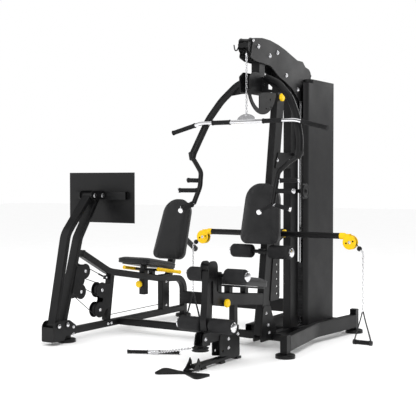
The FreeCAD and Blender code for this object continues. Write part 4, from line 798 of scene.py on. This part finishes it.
def make_handle(sign, side):
    """A D-handle: two webbing legs, a rubber grip and the chain that carries it."""
    body, node = f"handle_unit_{side}", f"handle_{side}"
    raised = 0 if sign > 0 else 45
    x, low, top = sign * 665, 88 + raised, 296 + raised
    make_chain(f"handle_{side}_links", body, node, at(x, SWIVEL_Y, 676), at(x, SWIVEL_Y, top + 14))
    hooks = bmesh.new()
    centre = at(sign * 655, SWIVEL_Y, 689)
    run = (at(sign * 645, SWIVEL_Y, 697) - at(x, SWIVEL_Y, 674)).normalized()
    oval_link(hooks, centre, run, Y, 0.04, 0.022, 0.003)
    oval_link(hooks, at(x, SWIVEL_Y, top + 4), Z, Y, 0.03, 0.02, 0.0032)
    strap = bmesh.new()
    for way in (-1, 1):
        leg = [(3, top - 6), (20, top - 70), (44, low + 60), (57, low + 12), (58, low)]
        path = smooth_path([at(x + way * out, SWIVEL_Y, z) for out, z in leg], 6)
        tube(strap, path, 0.011, 16, flat=0.18)
        ring = [(0, 0), (0, 0.0165), (0.013, 0.0165), (0.013, 0)]
        lathe(strap, at(x + way * 52, SWIVEL_Y, low), X * way, ring, 32)
    grip = bmesh.new()
    ribbed_grip(grip, at(x - 51, SWIVEL_Y, low), at(x + 51, SWIVEL_Y, low), 0.0148)
    pieces = (finish_piece(f"handle_{side}_hooks", mesh_from(hooks, "hooks"), CHROME, body, 60),
              finish_piece(f"handle_{side}_strap", mesh_from(strap, "strap"), WEBBING, body),
              finish_piece(f"handle_{side}_sleeve", mesh_from(grip, "grip"), RUBBER, body))
    for piece in pieces:
        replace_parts(piece, node)


def make_row_handle():
    """The straight row bar lying on the floor, and the chain back to the low pulley."""
    body = "row_handle"
    start, end = at(-690, -431, 14), at(-372, -271, 14)
    run = (end - start).normalized()
    rubber, chrome = bmesh.new(), bmesh.new()
    length = (end - start).length
    ribbed_grip(rubber, start + run * 0.004, start + run * (length / 2 - 0.035), 0.0118)
    ribbed_grip(rubber, end - run * 0.004, start + run * (length / 2 + 0.035), 0.0118)
    middle_sleeve = [(0, 0), (0, 0.0125), (0.08, 0.0125), (0.08, 0)]
    lathe(chrome, start + run * (length / 2 - 0.04), run, middle_sleeve, 32)
    for place, out in ((start, run), (end, -run)):
        lathe(chrome, place, out, [(0, 0), (0, 0.012), (0.002, 0.0138), (0.006, 0.0138), (0.006, 0)], 32)
    middle = (start + end) / 2
    side = Vector((-run.y, run.x, 0)) * -1
    oval_link(chrome, middle + side * 0.016, side, run, 0.034, 0.024, 0.004)
    grips = finish_piece("row_bar_sleeves", mesh_from(rubber, "row"), RUBBER, body)
    bright = finish_piece("row_bar_chrome", mesh_from(chrome, "row_chrome"), CHROME, body, 50)
    make_chain("row_chain_links", body, "row_handle", at(-72, -600, 120), middle + side * 0.036)
    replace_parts(grips, "row_handle")
    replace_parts(bright, "row_handle")


# ---------------------------------------------------------------- fasteners, caps and cables
def cap_nut(bm, place, out, radius=0.011, tall=0.009):
    """A washer, a hexagon and a dome."""
    washer = [(0, 0), (0, radius * 1.25), (0.0014, radius * 1.25), (0.0018, radius * 1.1), (0.0018, 0)]
    lathe(bm, place, out, washer, 28)
    lathe(bm, place + out * 0.0018, out, [(0, 0), (0, radius), (tall * 0.45, radius), (tall * 0.5, 0)], 6)
    dome = [(0, radius * 0.82)] + [(tall * 0.55 * math.sin(math.pi / 2 * k / 5),
                                    radius * 0.82 * math.cos(math.pi / 2 * k / 5)) for k in range(1, 6)]
    lathe(bm, place + out * (0.0018 + tall * 0.42), out, [(0, 0)] + dome, 24)


def make_fasteners():
    """Cap nuts on both faces of the boom, the brackets, the low frame and the leg press."""
    bm = bmesh.new()
    for y, z in ((39, 2034), (197, 1989), (305, 2022), (437, 1880), (614, 1795)):
        for sign in (-1, 1):
            cap_nut(bm, at(sign * 43, y, z), X * sign, 0.0115, 0.010)
    for y, z in ((202, 167), (216, 114), (172, 250), (330, 1290), (500, 1290), (-590, 184), (-320, 150),
                 (-320, 94), (-205, 165)):
        for sign in (-1, 1):
            cap_nut(bm, at(sign * 31, y, z), X * sign, 0.0095)
    for sign in (-1, 1):
        for y, z in ((-290, 60), (-290, 110)):
            cap_nut(bm, at(PRESS_X + sign * 55, y, z), X * sign, 0.009)
        for y, z in ((140, 74), (180, 74), (900, 130), (900, 320)):
            cap_nut(bm, at(PRESS_X + sign * 25, y, z), X * sign, 0.009)
        for y, z in STRUT_PULLEYS:
            cap_nut(bm, at(PRESS_X + sign * 29, y, z), X * sign, 0.0105)
    nuts = finish_piece("cap_nuts", mesh_from(bm, "cap_nuts"), CHROME, "frame", 30)
    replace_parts(nuts, "frame_fasteners")
    bm = bmesh.new()
    for sign in (-1, 1):
        for y, z in ARM_PULLEYS:
            cap_nut(bm, at(PRESS_X + sign * 41.6, y, z), X * sign, 0.0105)
    finish_piece("arm_pulley_nuts", mesh_from(bm, "arm_pulley_nuts"), CHROME, "press_rear_link", 30)


def domed_cap(bm, place, out, radius, tall):
    profile = [(0, 0), (0, radius), (tall * 0.4, radius)]
    profile += [(tall * (0.4 + 0.6 * math.sin(math.pi / 2 * k / 6)), radius * math.cos(math.pi / 2 * k / 6))
                for k in range(1, 7)]
    lathe(bm, place, out, profile, 40)


def make_caps():
    """Chrome pivot caps on the leg press and chrome caps on the boom's nose bolt."""
    for body, places in (("frame", ((-448, 134), (-358, 134))), ("foot_carriage", ((-58, 1040),)),
                         ("press_rear_link", ((32, 1040),))):
        bm = bmesh.new()
        reach = 62 if body == "frame" else 64
        for y, z in places:
            for sign in (-1, 1):
                domed_cap(bm, at(PRESS_X + sign * reach, y, z), X * sign, 0.0155, 0.007)
        finish_piece(f"pivot_caps_{body}", mesh_from(bm, "caps"), CHROME, body, 50)
    bm = bmesh.new()
    domed_cap(bm, at(52, -47, 2061), X, 0.0105, 0.006)
    domed_cap(bm, at(-52, -47, 2061), -X, 0.0105, 0.006)
    finish_piece("nose_bolt_caps", mesh_from(bm, "nose"), CHROME, "frame", 50)


def arc_points(centre, radius, start_deg, end_deg, steps=16):
    """Points of an arc in the plane across X; 0 degrees points along +Y and 90 up."""
    points = []
    for k in range(steps + 1):
        angle = math.radians(start_deg + (end_deg - start_deg) * k / steps)
        points.append(centre + Y * (radius * math.cos(angle)) + Z * (radius * math.sin(angle)))
    return points


CABLE_RADIUS = 0.003


def cable_piece(name, path, body):
    bm = bmesh.new()
    tube(bm, path, CABLE_RADIUS, 12)
    return finish_piece(name, mesh_from(bm, name), CABLE, body, 60)


def make_cables():
    """The steel cables: over the boom, beside the tower, and through the leg press pulleys."""
    groove = 0.0505
    front, inner, outer = at(*FRONT_PULLEY), at(*MID_PULLEY), at(*REAR_PULLEY)
    path = [front + Vector((0, -groove, -0.04))] + arc_points(front, groove, 180, 83, 12)
    path += arc_points(inner, groove, 83, 72, 4) + arc_points(outer, groove, 78, 0, 12)
    piece = cable_piece("boom_cable", path, "frame")
    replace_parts(piece, "frame_cables")
    side = cable_piece("side_cable_line", [at(104, 557, 760), at(104, 557, 1345)], "frame")
    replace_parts(side, "frame_cables")
    make_press_cables()


def tangent(centre, way, other, other_way, groove):
    """Ends of a straight run between two grooves; way is 1 on the upper side, -1 below, 0 at a point."""
    apart = other - centre
    run = apart.normalized()
    lean = math.asin((way - other_way) * groove / apart.length)
    up = Vector((0, -run.z, run.y)) * (1 if run.y > 0 else -1)
    out = up * math.cos(lean) + run * math.sin(lean)
    return centre + out * groove * way, other + out * groove * other_way


def make_press_cables():
    """The run in from the tower, and the tackle between the arm's two pulleys and the strut's two."""
    groove = 0.0445
    upper, lower = (at(PRESS_X, y, z) for y, z in ARM_PULLEYS)
    high, low = (at(PRESS_X, y, z) for y, z in STRUT_PULLEYS)
    feed = [at(PRESS_X, 880, 141), at(PRESS_X, 194, 134), low - Z * groove + Y * 0.03] + arc_points(
        low, groove, 268, 238, 8)
    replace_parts(cable_piece("press_feed_cable", feed, "frame"), "frame_cables")
    hook = at(PRESS_X, 140, 421)
    anchor, screw = bmesh.new(), bmesh.new()
    for sign in (-1, 1):
        box_piece(anchor, (PRESS_X + sign * 9 - 2, 128, 408), (PRESS_X + sign * 9 + 2, 176, 436))
    line = (upper + Z * groove - hook).normalized()
    turnbuckle = [(0, 0), (0, 0.0065), (0.056, 0.0065), (0.06, 0.004), (0.06, 0)]
    lathe(anchor, hook + line * 0.028, line, turnbuckle, 20)
    lathe(screw, hook - X * 0.013, X, [(0, 0), (0, 0.0075), (0.026, 0.0075), (0.026, 0)], 6)
    lathe(screw, hook, line, [(0, 0), (0, 0.0045), (0.03, 0.0045), (0.03, 0)], 16)
    finish_piece("tackle_bracket", mesh_from(anchor, "tackle_bracket"), STEEL, "frame", 30)
    finish_piece("tackle_bolt", mesh_from(screw, "tackle_bolt"), CHROME, "frame", 30)
    runs = (("tackle_low", low, -1, lower, -1), ("tackle_mid", high, -1, lower, 1),
            ("tackle_high", high, 1, upper, -1), ("tackle_anchor", hook, 0, upper, 1))
    for name, fixed, way, moving, moving_way in runs:
        start, end = tangent(fixed, way, moving, moving_way, groove)
        bm = bmesh.new()
        tube(bm, [start.lerp(end, k / 8) for k in range(9)], CABLE_RADIUS, 12)
        span = finish_piece(name, mesh_from(bm, name), CABLE, None, 180)
        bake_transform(span)


# ---------------------------------------------------------------- stage
CAMERA_PLACE, CAMERA_TURN, CAMERA_TILT = (3041.75, -5306.1, 1150), 32.4, 1.7
LENS, SENSOR = 80, 36


def make_stage():
    """A pale floor, the camera at the picture's viewing angle, and four soft lamps."""
    bm = bmesh.new()
    bmesh.ops.create_grid(bm, x_segments=2, y_segments=2, size=30)
    mesh = mesh_from(bm, "floor")
    floor = bpy.data.objects.new("floor", mesh)
    bpy.context.scene.collection.objects.link(floor)
    mesh.materials.append(FLOOR)
    floor.location.z = cad_low.z - 0.0002
    camera = bpy.data.objects.new("camera", bpy.data.cameras.new("camera"))
    bpy.context.scene.collection.objects.link(camera)
    camera.data.lens = LENS
    camera.data.sensor_width = SENSOR
    camera.location = at(*CAMERA_PLACE)
    camera.rotation_euler = (math.radians(90 - CAMERA_TILT), 0, math.radians(CAMERA_TURN))
    bpy.context.scene.camera = camera
    lamps = (("key", (2.5, -4.0, 4.2), 3.5, 110), ("fill", (-4.0, -3.0, 3.0), 4.0, 55),
             ("rim", (1.5, 4.5, 3.5), 3.0, 70), ("top", (-0.4, 0.2, 5.0), 4.5, 60))
    for name, place, wide, power in lamps:
        lamp = bpy.data.objects.new(name, bpy.data.lights.new(name, "AREA"))
        lamp.data.size = wide
        lamp.data.energy = power
        lamp.location = place
        aim = Vector((-0.3, 0.0, 0.9)) - Vector(place)
        lamp.rotation_euler = aim.to_track_quat("-Z", "Y").to_euler()
        bpy.context.scene.collection.objects.link(lamp)
    make_world()


def make_world():
    """White surroundings, which reflections see as a grey ramp, so that black and chrome keep contrast."""
    world = bpy.data.worlds.new("studio")
    world.use_nodes = True
    tree = world.node_tree
    place = tree.nodes.new("ShaderNodeTexCoord")
    split = tree.nodes.new("ShaderNodeSeparateXYZ")
    ramp = tree.nodes.new("ShaderNodeValToRGB")
    ramp.color_ramp.elements[0].color = (0.55, 0.55, 0.55, 1)
    ramp.color_ramp.elements[1].color = (0.06, 0.06, 0.06, 1)
    for position, grey in ((0.12, 0.3), (0.4, 0.1)):
        stop = ramp.color_ramp.elements.new(position)
        stop.color = (grey, grey, grey, 1)
    ray = tree.nodes.new("ShaderNodeLightPath")
    mix = tree.nodes.new("ShaderNodeMixRGB")
    mix.inputs["Color1"].default_value = (1, 1, 1, 1)
    tree.links.new(place.outputs["Generated"], split.inputs["Vector"])
    tree.links.new(split.outputs["Z"], ramp.inputs["Fac"])
    tree.links.new(ray.outputs["Is Glossy Ray"], mix.inputs["Fac"])
    tree.links.new(ramp.outputs["Color"], mix.inputs["Color2"])
    tree.links.new(mix.outputs["Color"], tree.nodes["Background"].inputs["Color"])
    tree.nodes["Background"].inputs["Strength"].default_value = 1.0
    bpy.context.scene.world = world


make_stage()
bpy.context.scene.view_settings.view_transform = "Standard"
dress_cad()
make_pads()
make_rollers()
make_press_grips()
make_lat_bar()
make_lat_hanger()
make_knobs()
make_side_grips()
make_pulleys()
make_swivels()
make_row_handle()
make_fasteners()
make_caps()
make_cables()
